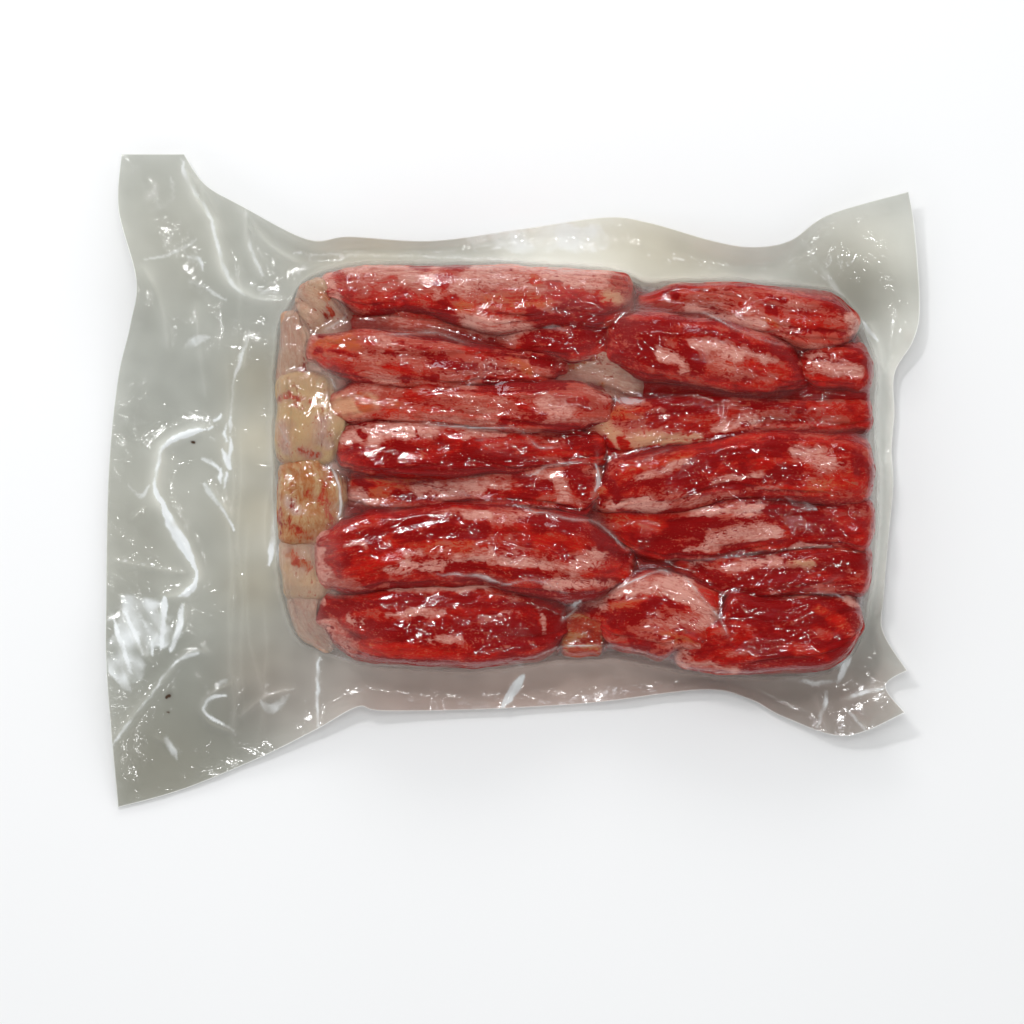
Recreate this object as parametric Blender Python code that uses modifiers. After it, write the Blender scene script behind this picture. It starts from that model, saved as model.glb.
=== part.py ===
"""King crab leg meat in a clear vacuum bag, lying flat, as one solid.

The bag's upper and lower film are drawn tight over two rows of shelled leg meat and are
pressed together all round it, so the pack is a lumpy filled pocket with a thin wavy margin.
Metres, +X from the bag's mouth to its closed end, +Y across the bag, +Z up. The origin is
under the middle of the bag, on the surface that the pack lies on.
"""

from math import atan2, ceil, copysign, cos, hypot, pi, sin

import bmesh
import bpy
from mathutils import Vector, noise

MM = 0.001

# The bag's sides in order round it, in mm. Each row is a point of the rim (x, y, height), then
# the point (x, y) of the seam beside it, where the two films part to go over and under the meat.
MOUTH_SIDE = [
    (-149, 124.5, 6, -89.5, 49), (-150, 103.5, 9, -90, 43), (-143, 76.5, 15, -90, 37),
    (-145.5, 59.5, 10, -90, 31), (-150.5, 38.5, 5, -90, 24), (-154, 4, 3, -90, 5),
    (-155, -45, 4, -88, -35), (-154.5, -74, 8, -85.5, -50), (-150.5, -124.5, 2, -81, -60),
]
FRONT_SIDE = [
    (-150.5, -124.5, 2, -81, -60), (-125.5, -117.5, 2, -76, -62.5), (-96.5, -105.5, 4, -70, -65),
    (-74.5, -94.5, 7, -63, -67.5), (-59, -86, 10, -56, -69), (-49.5, -87.5, 9, -48, -70),
    (-12.5, -87, 5, -12, -71), (30, -84.5, 5, 30, -67.5), (72.5, -79.5, 8, 71, -72.5),
    (90, -83, 6, 88, -73.5), (103.5, -90, 5, 102, -73.5), (126.5, -97, 9, 117, -72.5),
    (149, -88, 15, 123, -70),
]
FOLDED_CORNER = [(149, -88, 15, 123, -70), (142, -78, 7, 126, -67.5), (150, -72, 12, 129.5, -64)]
CLOSED_SIDE = [
    (150, -72, 12, 129.5, -64), (141, -57, 8, 133, -55), (141.5, -43.5, 6, 135.5, -43),
    (143, -24.5, 5, 137.5, -25), (145, -2.5, 6, 138.5, -3), (144.5, 12, 5, 137.5, 12),
    (145.5, 25.5, 5, 137, 26), (145.5, 41, 7, 138, 41), (152.5, 53.5, 9, 136, 50),
    (155, 66.5, 8, 132.5, 58), (153, 95.5, 10, 127, 67), (150.5, 110, 14, 122, 71.5),
]
BACK_SIDE = [
    (150.5, 110, 14, 122, 71.5), (120.5, 101.5, 8, 110, 73.5), (105.5, 91.5, 8, 101, 74.5),
    (91, 89, 10, 88, 75.5), (76, 91.5, 8, 75, 76), (52, 98.5, 5, 52, 76), (35, 100.5, 4, 34, 80),
    (3, 96, 5, 3, 82), (-31, 91.5, 6, -31, 82.5), (-62, 93, 9, -58, 82), (-78, 92, 10, -66, 80.5),
    (-103.5, 105, 8, -79, 75.5), (-117, 113, 10, -87, 62), (-125, 124.5, 6, -89, 55),
]
MOUTH_FLAP = [(-125, 124.5, 6, -89, 55), (-149, 124.5, 6, -89.5, 49)]
SIDES = [MOUTH_SIDE, FRONT_SIDE, FOLDED_CORNER, CLOSED_SIDE, BACK_SIDE, MOUTH_FLAP]

# The pocket: the film and the juice that fill the gaps between the pieces of meat.
POCKET_HEIGHT = 19
POCKET_FOOT = 1.5
POCKET_EDGE_RADIUS = 8.5

# The margin: both films together, from the seam line at the pocket out to the rim.
FILM_THICKNESS = 0.5
SEAM_HEIGHT = 8.5
SEAM_OVERLAP = 6
TABLE_CLEARANCE = 0.8
MARGIN_RINGS = 5
RIM_STEP = 8.0
CURVE_STEP = 1.0
RIPPLE_LENGTH = 36.0
RIPPLE_HEIGHT = 1.1

# Leg meat: ends of the centre line in mm, width, top height, sideways bow, taper to the far end.
LEG_PIECES = {
    "left_1": ((-69, 72.5), (42, 71), 22, 27, 1, 0.05),
    "left_2": ((-62, 62), (34, 57), 17, 24.5, 0, 0.10),
    "left_3": ((-76, 48), (25, 43), 21, 27.5, 2, -0.05),
    "left_4": ((-66, 29), (37, 28.5), 20.5, 28, 1, 0.05),
    "left_5": ((-65, 11), (32, 15), 20.5, 27.5, -2, 0.05),
    "left_6": ((-60, -5), (34, -3), 18.5, 25, 0, 0.0),
    "left_7": ((-72, -32), (44, -31), 28, 29, 9, -0.05),
    "left_8": ((-74, -51.5), (19, -55), 29, 27.5, -2, 0.10),
    "right_1": ((51, 68), (133, 60), 22, 25.5, 2, 0.10),
    "right_2": ((38, 51), (114, 42), 26, 29, 1, -0.10),
    "right_3": ((104, 42.5), (140, 41), 20.5, 25, 0, 0.0),
    "right_4": ((32, 16.5), (132, 26.5), 21, 25.5, 2, 0.05),
    "right_5": ((32, -5), (139, 5), 26, 28.5, 5, -0.05),
    "right_6": ((32, -21), (139, -13), 21.5, 27, 1, 0.10),
    "right_7": ((60, -34.5), (136, -31), 19, 26, 2, 0.0),
    "right_8": ((28, -50), (79, -59), 25, 26.5, 1, 0.15),
    "right_9": ((58, -54), (135, -56.5), 33, 28, 1, 0.0),
}
SMALL_PIECES = {
    "scrap_1": ((-84, 72), (-82, 36), 18, 18, 0, 0.0),
    "scrap_2": ((-77, 37), (-76, 7), 24, 23, 0, 0.10),
    "scrap_3": ((-77, 10), (-77, -24), 22, 22.5, 0, 0.10),
    "scrap_4": ((-79, -20), (-79, -46), 18, 20, 0, 0.0),
    "scrap_5": ((-79, -40), (-76, -62), 18, 18, 0, -0.10),
    "scrap_6": ((20, 41), (50, 38), 16, 22, 0, 0.0),
    "scrap_7": ((15, -55), (36, -57), 16, 21.5, 0, 0.0),
}
# How far a piece would reach below the table if the table didn't press its underside flat.
PIECE_SINK = 3.0
PIECE_SIDES = 14
LEG_RINGS = 12
SMALL_RINGS = 8
# The power of the rounded box that a piece's ends and section follow; 2 would be an ellipse.
FULLNESS = 2.8
STRANDS = 5
STRAND_DEPTH = 0.035
LUMP_SIZE = 13.0
LUMP_HEIGHT = 1.1

PACK_NAME = "filled_bag"
MEAT_RED = (0.62, 0.09, 0.06, 1)


def clear_scene():
    for item in list(bpy.data.objects):
        bpy.data.objects.remove(item)


def collection_of(name):
    made = bpy.data.collections.new(name)
    bpy.context.scene.collection.children.link(made)
    return made


def curve_through(points):
    """Close points along the smooth curve that runs through the given ones."""
    smooth = []
    for i, (start, end) in enumerate(zip(points, points[1:])):
        before, after = points[max(i - 1, 0)], points[min(i + 2, len(points) - 1)]
        count = ceil(hypot(end[0] - start[0], end[1] - start[1]) / CURVE_STEP)
        for t in (j / count for j in range(count)):
            weights = (
                (-t + 2 * t**2 - t**3) / 2,
                (2 - 5 * t**2 + 3 * t**3) / 2,
                (t + 4 * t**2 - 3 * t**3) / 2,
                (t**3 - t**2) / 2,
            )
            near = zip(before, start, end, after)
            smooth.append(tuple(sum(w * c for w, c in zip(weights, values)) for values in near))
    return [*smooth, points[-1]]


def evenly_along(points, count):
    """count points at equal steps along a line of close points, without its last point."""
    reached = [0.0]
    for a, b in zip(points, points[1:]):
        reached.append(reached[-1] + hypot(b[0] - a[0], b[1] - a[1]))
    chosen, i = [], 0
    for wanted in (reached[-1] * k / count for k in range(count)):
        while reached[i + 1] < wanted:
            i += 1
        share = (wanted - reached[i]) / (reached[i + 1] - reached[i])
        chosen.append(tuple(a + (b - a) * share for a, b in zip(points[i], points[i + 1])))
    return chosen


def rim_and_seam():
    """Points at even steps round the rim, each with the seam point that it is joined to."""
    rows = []
    for side in SIDES:
        curve = curve_through(side)
        length = sum(hypot(b[0] - a[0], b[1] - a[1]) for a, b in zip(curve, curve[1:]))
        rows += evenly_along(curve, ceil(length / RIM_STEP))
    return rows


def add_mesh_object(name, shape, collection):
    mesh = bpy.data.meshes.new(name)
    shape.to_mesh(mesh)
    shape.free()
    made = bpy.data.objects.new(name, mesh)
    collection.objects.link(made)
    return made


def apply_modifiers(item):
    bpy.context.view_layer.objects.active = item
    for modifier in list(item.modifiers):
        bpy.ops.object.modifier_apply(modifier=modifier.name)


def make_margin(collection):
    """The thin wavy sheet round the pocket: rings from inside the pocket out to the rim."""
    shape = bmesh.new()
    columns = []
    for i, (x, y, rise, seam_x, seam_y) in enumerate(rim_and_seam()):
        out = Vector((x - seam_x, y - seam_y))
        ripple = RIPPLE_HEIGHT * min(out.length / RIPPLE_LENGTH, 1)
        ripple *= sin(2 * pi * i * RIM_STEP / RIPPLE_LENGTH)
        column = []
        for share in (ring / MARGIN_RINGS for ring in range(-1, MARGIN_RINGS + 1)):
            if share < 0:
                place = Vector((seam_x, seam_y)) - out.normalized() * SEAM_OVERLAP
                height = SEAM_HEIGHT
            else:
                place = Vector((seam_x, seam_y)) + out * share
                height = SEAM_HEIGHT * (1 - share) ** 2 + rise * share**2
                height += ripple * 4 * share * (1 - share)
            height = max(height, TABLE_CLEARANCE)
            column.append(shape.verts.new(Vector((*place, height)) * MM))
        columns.append(column)
    for this, after in zip(columns, columns[1:] + columns[:1]):
        for k in range(MARGIN_RINGS + 1):
            shape.faces.new((this[k], this[k + 1], after[k + 1], after[k]))
    bmesh.ops.recalc_face_normals(shape, faces=shape.faces)
    bmesh.ops.triangulate(shape, faces=shape.faces)
    margin = add_mesh_object("margin", shape, collection)
    film = margin.modifiers.new("film thickness", "SOLIDIFY")
    film.thickness = FILM_THICKNESS * MM
    film.offset = 0
    apply_modifiers(margin)
    return margin


def make_pocket(collection):
    """The slab of film and juice between the pieces, rounded over at its edge."""
    shape = bmesh.new()
    outline = [row[3:] for side in SIDES for row in side[:-1]]
    foot = [shape.verts.new((x * MM, y * MM, POCKET_FOOT * MM)) for x, y in outline]
    raised = bmesh.ops.extrude_face_region(shape, geom=[shape.faces.new(foot)])["geom"]
    top = [g for g in raised if isinstance(g, bmesh.types.BMVert)]
    bmesh.ops.translate(shape, verts=top, vec=(0, 0, (POCKET_HEIGHT - POCKET_FOOT) * MM))
    bmesh.ops.recalc_face_normals(shape, faces=shape.faces)
    top_edges = [e for e in shape.edges if all(v in top for v in e.verts)]
    bmesh.ops.bevel(
        shape, geom=top_edges, offset=POCKET_EDGE_RADIUS * MM, segments=3, profile=0.5,
        affect="EDGES",
    )
    return add_mesh_object(PACK_NAME, shape, collection)


def filled_out(share):
    """A share of the half width or height, moved out so that a round becomes a fuller shape."""
    return copysign(abs(share) ** (2 / FULLNESS), share)


def make_piece(name, size, rings, collection):
    """One piece of meat: a ball drawn out along a bowed line, flattened, lumpy and stranded."""
    start, end, width, top, bow, taper = size
    start, end = Vector((*start, 0)) * MM, Vector((*end, 0)) * MM
    middle, half = (start + end) / 2, (end - start) / 2
    side = Vector((-half.y, half.x, 0)).normalized()
    half_height = (top + PIECE_SINK) / 2 * MM
    axis_height = (top - PIECE_SINK) / 2 * MM
    shape = bmesh.new()
    bmesh.ops.create_uvsphere(shape, u_segments=PIECE_SIDES, v_segments=rings, radius=1)
    for vertex in shape.verts:
        x, y, along = vertex.co
        round_angle = atan2(y, x)
        girth = hypot(x, y) ** (2 / FULLNESS)
        girth *= 1 + STRAND_DEPTH * sin(STRANDS * round_angle + len(name) + width)
        along = filled_out(along)
        girth *= 1 + taper * along
        place = middle + half * along + side * (bow * MM * (1 - along**2))
        place += side * (girth * width / 2 * MM * filled_out(cos(round_angle)))
        place.z += axis_height + girth * half_height * filled_out(sin(round_angle))
        lump = noise.noise(place / (LUMP_SIZE * MM) + Vector((width, top, 0)))
        outward = (place - middle - half * along).normalized()
        vertex.co = place + outward * (lump * LUMP_HEIGHT * MM)
    bmesh.ops.recalc_face_normals(shape, faces=shape.faces)
    return add_mesh_object(name, shape, collection)


def make_table_cutter(collection):
    """Everything under the surface that the pack lies on, which presses its underside flat."""
    bpy.ops.mesh.primitive_cube_add(size=0.4, location=(0, 0, -0.2))
    cutter = bpy.context.active_object
    cutter.name = "table_cutter"
    for holder in list(cutter.users_collection):
        holder.objects.unlink(cutter)
    collection.objects.link(cutter)
    cutter.hide_render = True
    cutter.display_type = "WIRE"
    return cutter


def make_finish(name, colour, roughness):
    finish = bpy.data.materials.new(name)
    finish.use_nodes = True
    shader = finish.node_tree.nodes["Principled BSDF"]
    shader.inputs["Base Color"].default_value = colour
    shader.inputs["Roughness"].default_value = roughness
    return finish


def main():
    clear_scene()
    pack_collection = collection_of("king_crab_meat_pack")
    fused = collection_of("fused_into_the_bag")
    cutters = collection_of("cutters")

    make_margin(fused)
    for name, size in LEG_PIECES.items():
        make_piece(name, size, LEG_RINGS, fused)
    for name, size in SMALL_PIECES.items():
        make_piece(name, size, SMALL_RINGS, fused)

    pack = make_pocket(pack_collection)
    union = pack.modifiers.new("one sealed body", "BOOLEAN")
    union.operation = "UNION"
    union.operand_type = "COLLECTION"
    union.collection = fused
    union.solver = "EXACT"
    rest = pack.modifiers.new("flat underside", "BOOLEAN")
    rest.operation = "DIFFERENCE"
    rest.object = make_table_cutter(cutters)
    rest.solver = "MANIFOLD"
    apply_modifiers(pack)
    for item in list(fused.objects):
        bpy.data.objects.remove(item)

    pack.data.materials.clear()
    pack.data.materials.append(make_finish("film_over_meat", MEAT_RED, 0.2))
    pack.data.shade_smooth()
    pack.data.set_sharp_from_angle(angle=pi / 4)


main()
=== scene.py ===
"""A clear vacuum bag of shelled king crab leg meat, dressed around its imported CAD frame."""

from itertools import product
from math import pi, radians

import bpy
import numpy as np
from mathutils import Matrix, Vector
from mathutils.bvhtree import BVHTree
from mathutils.geometry import delaunay_2d_cdt


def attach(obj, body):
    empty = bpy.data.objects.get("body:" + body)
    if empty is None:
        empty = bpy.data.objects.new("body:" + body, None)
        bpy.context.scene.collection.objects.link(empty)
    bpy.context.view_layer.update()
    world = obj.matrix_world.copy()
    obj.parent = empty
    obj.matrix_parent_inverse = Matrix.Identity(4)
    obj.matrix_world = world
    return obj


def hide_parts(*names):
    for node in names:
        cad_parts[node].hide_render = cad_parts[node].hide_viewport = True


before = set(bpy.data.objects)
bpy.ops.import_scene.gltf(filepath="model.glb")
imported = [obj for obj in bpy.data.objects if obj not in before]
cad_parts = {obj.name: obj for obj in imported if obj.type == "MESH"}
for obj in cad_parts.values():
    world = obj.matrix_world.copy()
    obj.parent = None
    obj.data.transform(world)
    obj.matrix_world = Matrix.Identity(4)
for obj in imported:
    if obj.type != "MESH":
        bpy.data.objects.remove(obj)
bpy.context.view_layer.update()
bpy.ops.object.select_all(action="DESELECT")

# The pocket's outline. The seam between the bag's two sheets, and its rim further out, as the
# bag's plan shows them: everything inside has to lie within the seam.

# Points round the rim in mm: x, y and height, then the point of the seam beside it. Each list
# is one side, and the rim has a corner where two of them meet.
RIM_SIDES = [
    [
        (-149, 124.5, 6, -89.5, 49), (-150, 103.5, 9, -90, 43), (-143, 76.5, 15, -90, 37),
        (-145.5, 59.5, 10, -90, 31), (-150.5, 38.5, 5, -90, 24), (-154, 4, 3, -90, 5),
        (-155, -45, 4, -88, -35), (-154.5, -74, 8, -85.5, -50), (-150.5, -124.5, 2, -81, -60),
    ],
    [
        (-150.5, -124.5, 2, -81, -60), (-125.5, -117.5, 2, -76, -62.5),
        (-96.5, -105.5, 4, -70, -65), (-74.5, -94.5, 7, -63, -67.5), (-59, -86, 10, -56, -69),
        (-49.5, -87.5, 9, -48, -70), (-12.5, -87, 5, -12, -71), (30, -84.5, 5, 30, -67.5),
        (72.5, -79.5, 8, 71, -72.5), (90, -83, 6, 88, -73.5), (103.5, -90, 5, 102, -73.5),
        (126.5, -97, 9, 117, -72.5), (149, -88, 15, 123, -70),
    ],
    [(149, -88, 15, 123, -70), (142, -78, 7, 126, -67.5), (150, -72, 12, 129.5, -64)],
    [
        (150, -72, 12, 129.5, -64), (141, -57, 8, 133, -55), (141.5, -43.5, 6, 135.5, -43),
        (143, -24.5, 5, 137.5, -25), (145, -2.5, 6, 138.5, -3), (144.5, 12, 5, 137.5, 12),
        (145.5, 25.5, 5, 137, 26), (145.5, 41, 7, 138, 41), (152.5, 53.5, 9, 136, 50),
        (155, 66.5, 8, 132.5, 58), (153, 95.5, 10, 127, 67), (150.5, 110, 14, 122, 71.5),
    ],
    [
        (150.5, 110, 14, 122, 71.5), (120.5, 101.5, 8, 110, 73.5), (105.5, 91.5, 8, 101, 74.5),
        (91, 89, 10, 88, 75.5), (76, 91.5, 8, 75, 76), (52, 98.5, 5, 52, 76),
        (35, 100.5, 4, 34, 80), (3, 96, 5, 3, 82), (-31, 91.5, 6, -31, 82.5),
        (-62, 93, 9, -58, 82), (-78, 92, 10, -66, 80.5), (-103.5, 105, 8, -79, 75.5),
        (-117, 113, 10, -87, 62), (-125, 124.5, 6, -89, 55),
    ],
    [(-125, 124.5, 6, -89, 55), (-149, 124.5, 6, -89.5, 49)],
]
# The grid over the plan of the bag that heights and shades are worked out on, in mm.
CELL = 0.5
GRID_X = np.arange(-162, 162.01, CELL)
GRID_Y = np.arange(-131, 131.01, CELL)


def curve_through(points, step):
    """Close points, about a step apart, along the smooth curve through the given ones."""
    points = np.array(points, float)
    # The first and last point count twice, because the curve through two points looks at four.
    padded = np.concatenate((points[:1], points, points[-1:]))
    smooth = []
    for before, start, end, after in zip(padded, padded[1:], padded[2:], padded[3:]):
        count = max(int(np.ceil(np.hypot(*(end - start)[:2]) / step)), 1)
        t = (np.arange(count) / count)[:, None]
        smooth.append((
            (-t + 2 * t**2 - t**3) * before + (2 - 5 * t**2 + 3 * t**3) * start
            + (t + 4 * t**2 - 3 * t**3) * end + (t**3 - t**2) * after
        ) / 2)
    return np.concatenate((*smooth, points[-1:]))


def rim_rows(step):
    """Rows at close steps round the whole rim, each with its seam point."""
    return np.concatenate([curve_through(side, step)[:-1] for side in RIM_SIDES])


def inside_of(outline):
    """Which cells of the grid lie inside a closed outline."""
    x1, y1 = outline.T
    x2, y2 = np.roll(outline, -1, axis=0).T
    found = np.zeros((len(GRID_Y), len(GRID_X)), bool)
    for row, y in enumerate(GRID_Y):
        hit = (y1 <= y) != (y2 <= y)
        crossings = np.sort(x1[hit] + (y - y1[hit]) / (y2[hit] - y1[hit]) * (x2[hit] - x1[hit]))
        for start, end in zip(crossings[::2], crossings[1::2]):
            found[row] |= (GRID_X > start) & (GRID_X < end)
    return found


def grown(mask, cells):
    """The cells of a mask, and those up to a number of cells beside them."""
    for _ in range(cells):
        wide = mask.copy()
        wide[1:] |= mask[:-1]
        wide[:-1] |= mask[1:]
        wide[:, 1:] |= mask[:, :-1]
        wide[:, :-1] |= mask[:, 1:]
        mask = wide
    return mask


PLAN_STEP = 0.6
rows = rim_rows(PLAN_STEP)
seam_line, rim_line = rows[:, 3:], rows[:, :2]
in_pocket, in_bag = inside_of(seam_line), inside_of(rim_line)
grid_x, grid_y = np.meshgrid(GRID_X, GRID_Y)

# Leg meat. Eighteen pieces pulled whole out of the crab's leg shells, laid side by side in two
# rows across the bag. Each is a plump bundle of long pale fibres under a thin red skin that
# has torn away in patches, and the table and the vacuum have pressed its underside flat.

MM = 0.001
# The lowest that meat lies, in mm: the bag's lower film is under it.
MEAT_FLOOR = 0.9
# Up to this height over it, in mm, a piece's underside is squeezed flatter.
PRESSED_HEIGHT = 1.2
# How far a soft piece spreads past its own side to meet its neighbour.
MOST_GROWTH = 2.6
# How far past its ground a piece reaches where it is free, and where it presses on another.
OVERLAP = 0.6
PRESSED = 1.5
# How many faces a leg piece has round it and along it.
LEG_SIDES = 84
LEG_RINGS = 150

# Each piece: its height over the table, then points (x, y, width) along its middle, all in mm.
LEGS = {
    "left_1": (
        27, (-68, 73.5, 11.5), (-61, 73.5, 17.5), (-50.5, 73.5, 17), (-37, 73.5, 15), (-24, 72, 20),
        (-8.5, 69.5, 27.5), (6.5, 69, 29.5), (22, 70.5, 26), (35, 70.5, 20.5), (42, 71, 10.5),
    ),
    "left_2": (
        24.5, (-59.5, 59.5, 4.5), (-46.5, 59, 9.5), (-27.5, 57, 10), (-8.5, 53, 8.5), (10.5, 53, 15),
        (25.5, 53, 16.5), (34.5, 54, 10),
    ),
    "left_3": (
        27.5, (-74, 50.3, 6), (-67.5, 49, 15.5), (-52, 46.5, 19), (-31.5, 45.5, 18), (-12.5, 45, 16.5),
        (6.5, 44.5, 14.5), (18, 44.5, 9),
    ),
    "left_4": (
        28, (-66.5, 28, 8.5), (-56, 29, 12.5), (-35, 29, 15), (-12.5, 28.5, 17), (10.5, 27.5, 17.5),
        (26.5, 27, 15.5), (36, 26.5, 10),
    ),
    "left_5": (
        27.5, (-62, 13.5, 9.5), (-53.5, 13.5, 16.5), (-35, 12, 20), (-16, 11, 19), (3, 11, 16),
        (20, 12, 13.5), (33, 13.5, 10.5),
    ),
    "left_6": (
        25, (-58.5, -2.7, 8), (-44.5, -4, 13), (-25.5, -3.5, 13.5), (-5, -3.5, 15), (14, -3, 18),
        (27, -3, 19.5), (33, -2.5, 15),
    ),
    "left_7": (
        29, (-69.5, -29.5, 12), (-63, -29.2, 22.5), (-50.5, -26.5, 26), (-31.5, -23.5, 26.5),
        (-12.5, -23, 27), (8.5, -25, 28), (28.5, -29.5, 27.5), (42.5, -30, 10.5),
    ),
    "left_8": (
        27.5, (-70.5, -50.5, 6.5), (-62, -53, 15.5), (-46.5, -55.5, 27.5), (-27.5, -56, 30.5),
        (-8.5, -56, 29.5), (7.5, -55.5, 22), (19, -54, 8.5),
    ),
    "right_1": (
        25.5, (51.5, 65.5, 6), (67.5, 68, 13.5), (82.5, 67, 15.5), (98, 64, 18.5), (113, 61.5, 20.5),
        (126.5, 60, 18), (136, 56, 10),
    ),
    "right_2": (
        29, (39, 53, 12), (48.5, 52, 22.5), (65.5, 49, 23), (81, 45, 24), (96, 42, 21),
        (106, 40.5, 15), (113, 41, 7),
    ),
    "right_3": (25, (107.5, 43.5, 9), (116, 43, 16.5), (131.5, 42.5, 18.5), (140, 42.5, 13)),
    "right_4": (
        25.5, (32, 18.5, 12), (41.5, 18, 22), (60, 21.5, 20), (79, 24.5, 19), (98, 24.5, 16),
        (117.5, 24.5, 13.5), (133.5, 26.5, 10),
    ),
    "right_5": (
        28.5, (31.5, -5.5, 12), (46.5, -2, 22.5), (67.5, 2, 24.5), (86.5, 5, 24.5), (105.5, 5, 26),
        (124.5, 3.5, 24.5), (139, 1.5, 11.5),
    ),
    "right_6": (
        27, (32.5, -14.5, 7), (48.5, -19, 16), (67.5, -19, 20), (86.5, -18, 24.5), (105.5, -16.5, 19),
        (124.5, -16, 16.5), (139.5, -16, 17),
    ),
    "right_7": (
        26, (65, -32, 7), (77, -35, 13), (98, -35.5, 18), (117, -34, 19), (129, -33.5, 15.5),
        (135, -34, 10.5),
    ),
    "right_8": (
        26.5, (28.5, -49.5, 7), (39, -50.5, 18.5), (53, -49.5, 27.5), (66.5, -53.5, 31),
        (77, -59, 27.5), (85, -61.5, 16),
    ),
    "right_9": (
        28, (65, -63, 16), (75, -61, 26.5), (92, -59.5, 32), (111, -58.5, 32), (125.5, -54.5, 23.5),
        (134.5, -52.5, 11.5),
    ),
    "right_10": (21.5, (52, 34.5, 7), (70, 34, 9), (90, 32.5, 9.5), (112, 32.5, 9), (132, 33, 7)),
}

# The scraps beside and between them: their lines stand here because all pieces press together.
SCRAPS = {
    "scrap_1": (19, (-85, 66, 9), (-84, 58, 13), (-83, 48, 14), (-82, 38, 10)),
    "scrap_2": (23, (-77, 33, 16), (-77, 27, 24), (-77, 18, 25), (-77, 11, 18)),
    "scrap_3": (22.5, (-79, 5, 14), (-78, -1, 19), (-78, -11, 20), (-78, -19, 13)),
    "scrap_4": (20, (-80, -25, 10), (-80, -31, 14), (-80, -38, 14), (-80, -43, 10)),
    "scrap_5": (17, (-80, -45, 11), (-78.5, -51, 14), (-76, -56.5, 13), (-73, -58.5, 9)),
    "scrap_6": (22, (21, 41, 9), (28, 41, 14), (38, 39, 15), (48, 36, 10)),
    "scrap_7": (21, (20.5, -55.5, 9), (26, -55.5, 13), (32, -56, 9)),
    "scrap_8": (21, (-82, 72, 8), (-76, 70, 15), (-70, 66, 18), (-66, 60, 12)),
}

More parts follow.
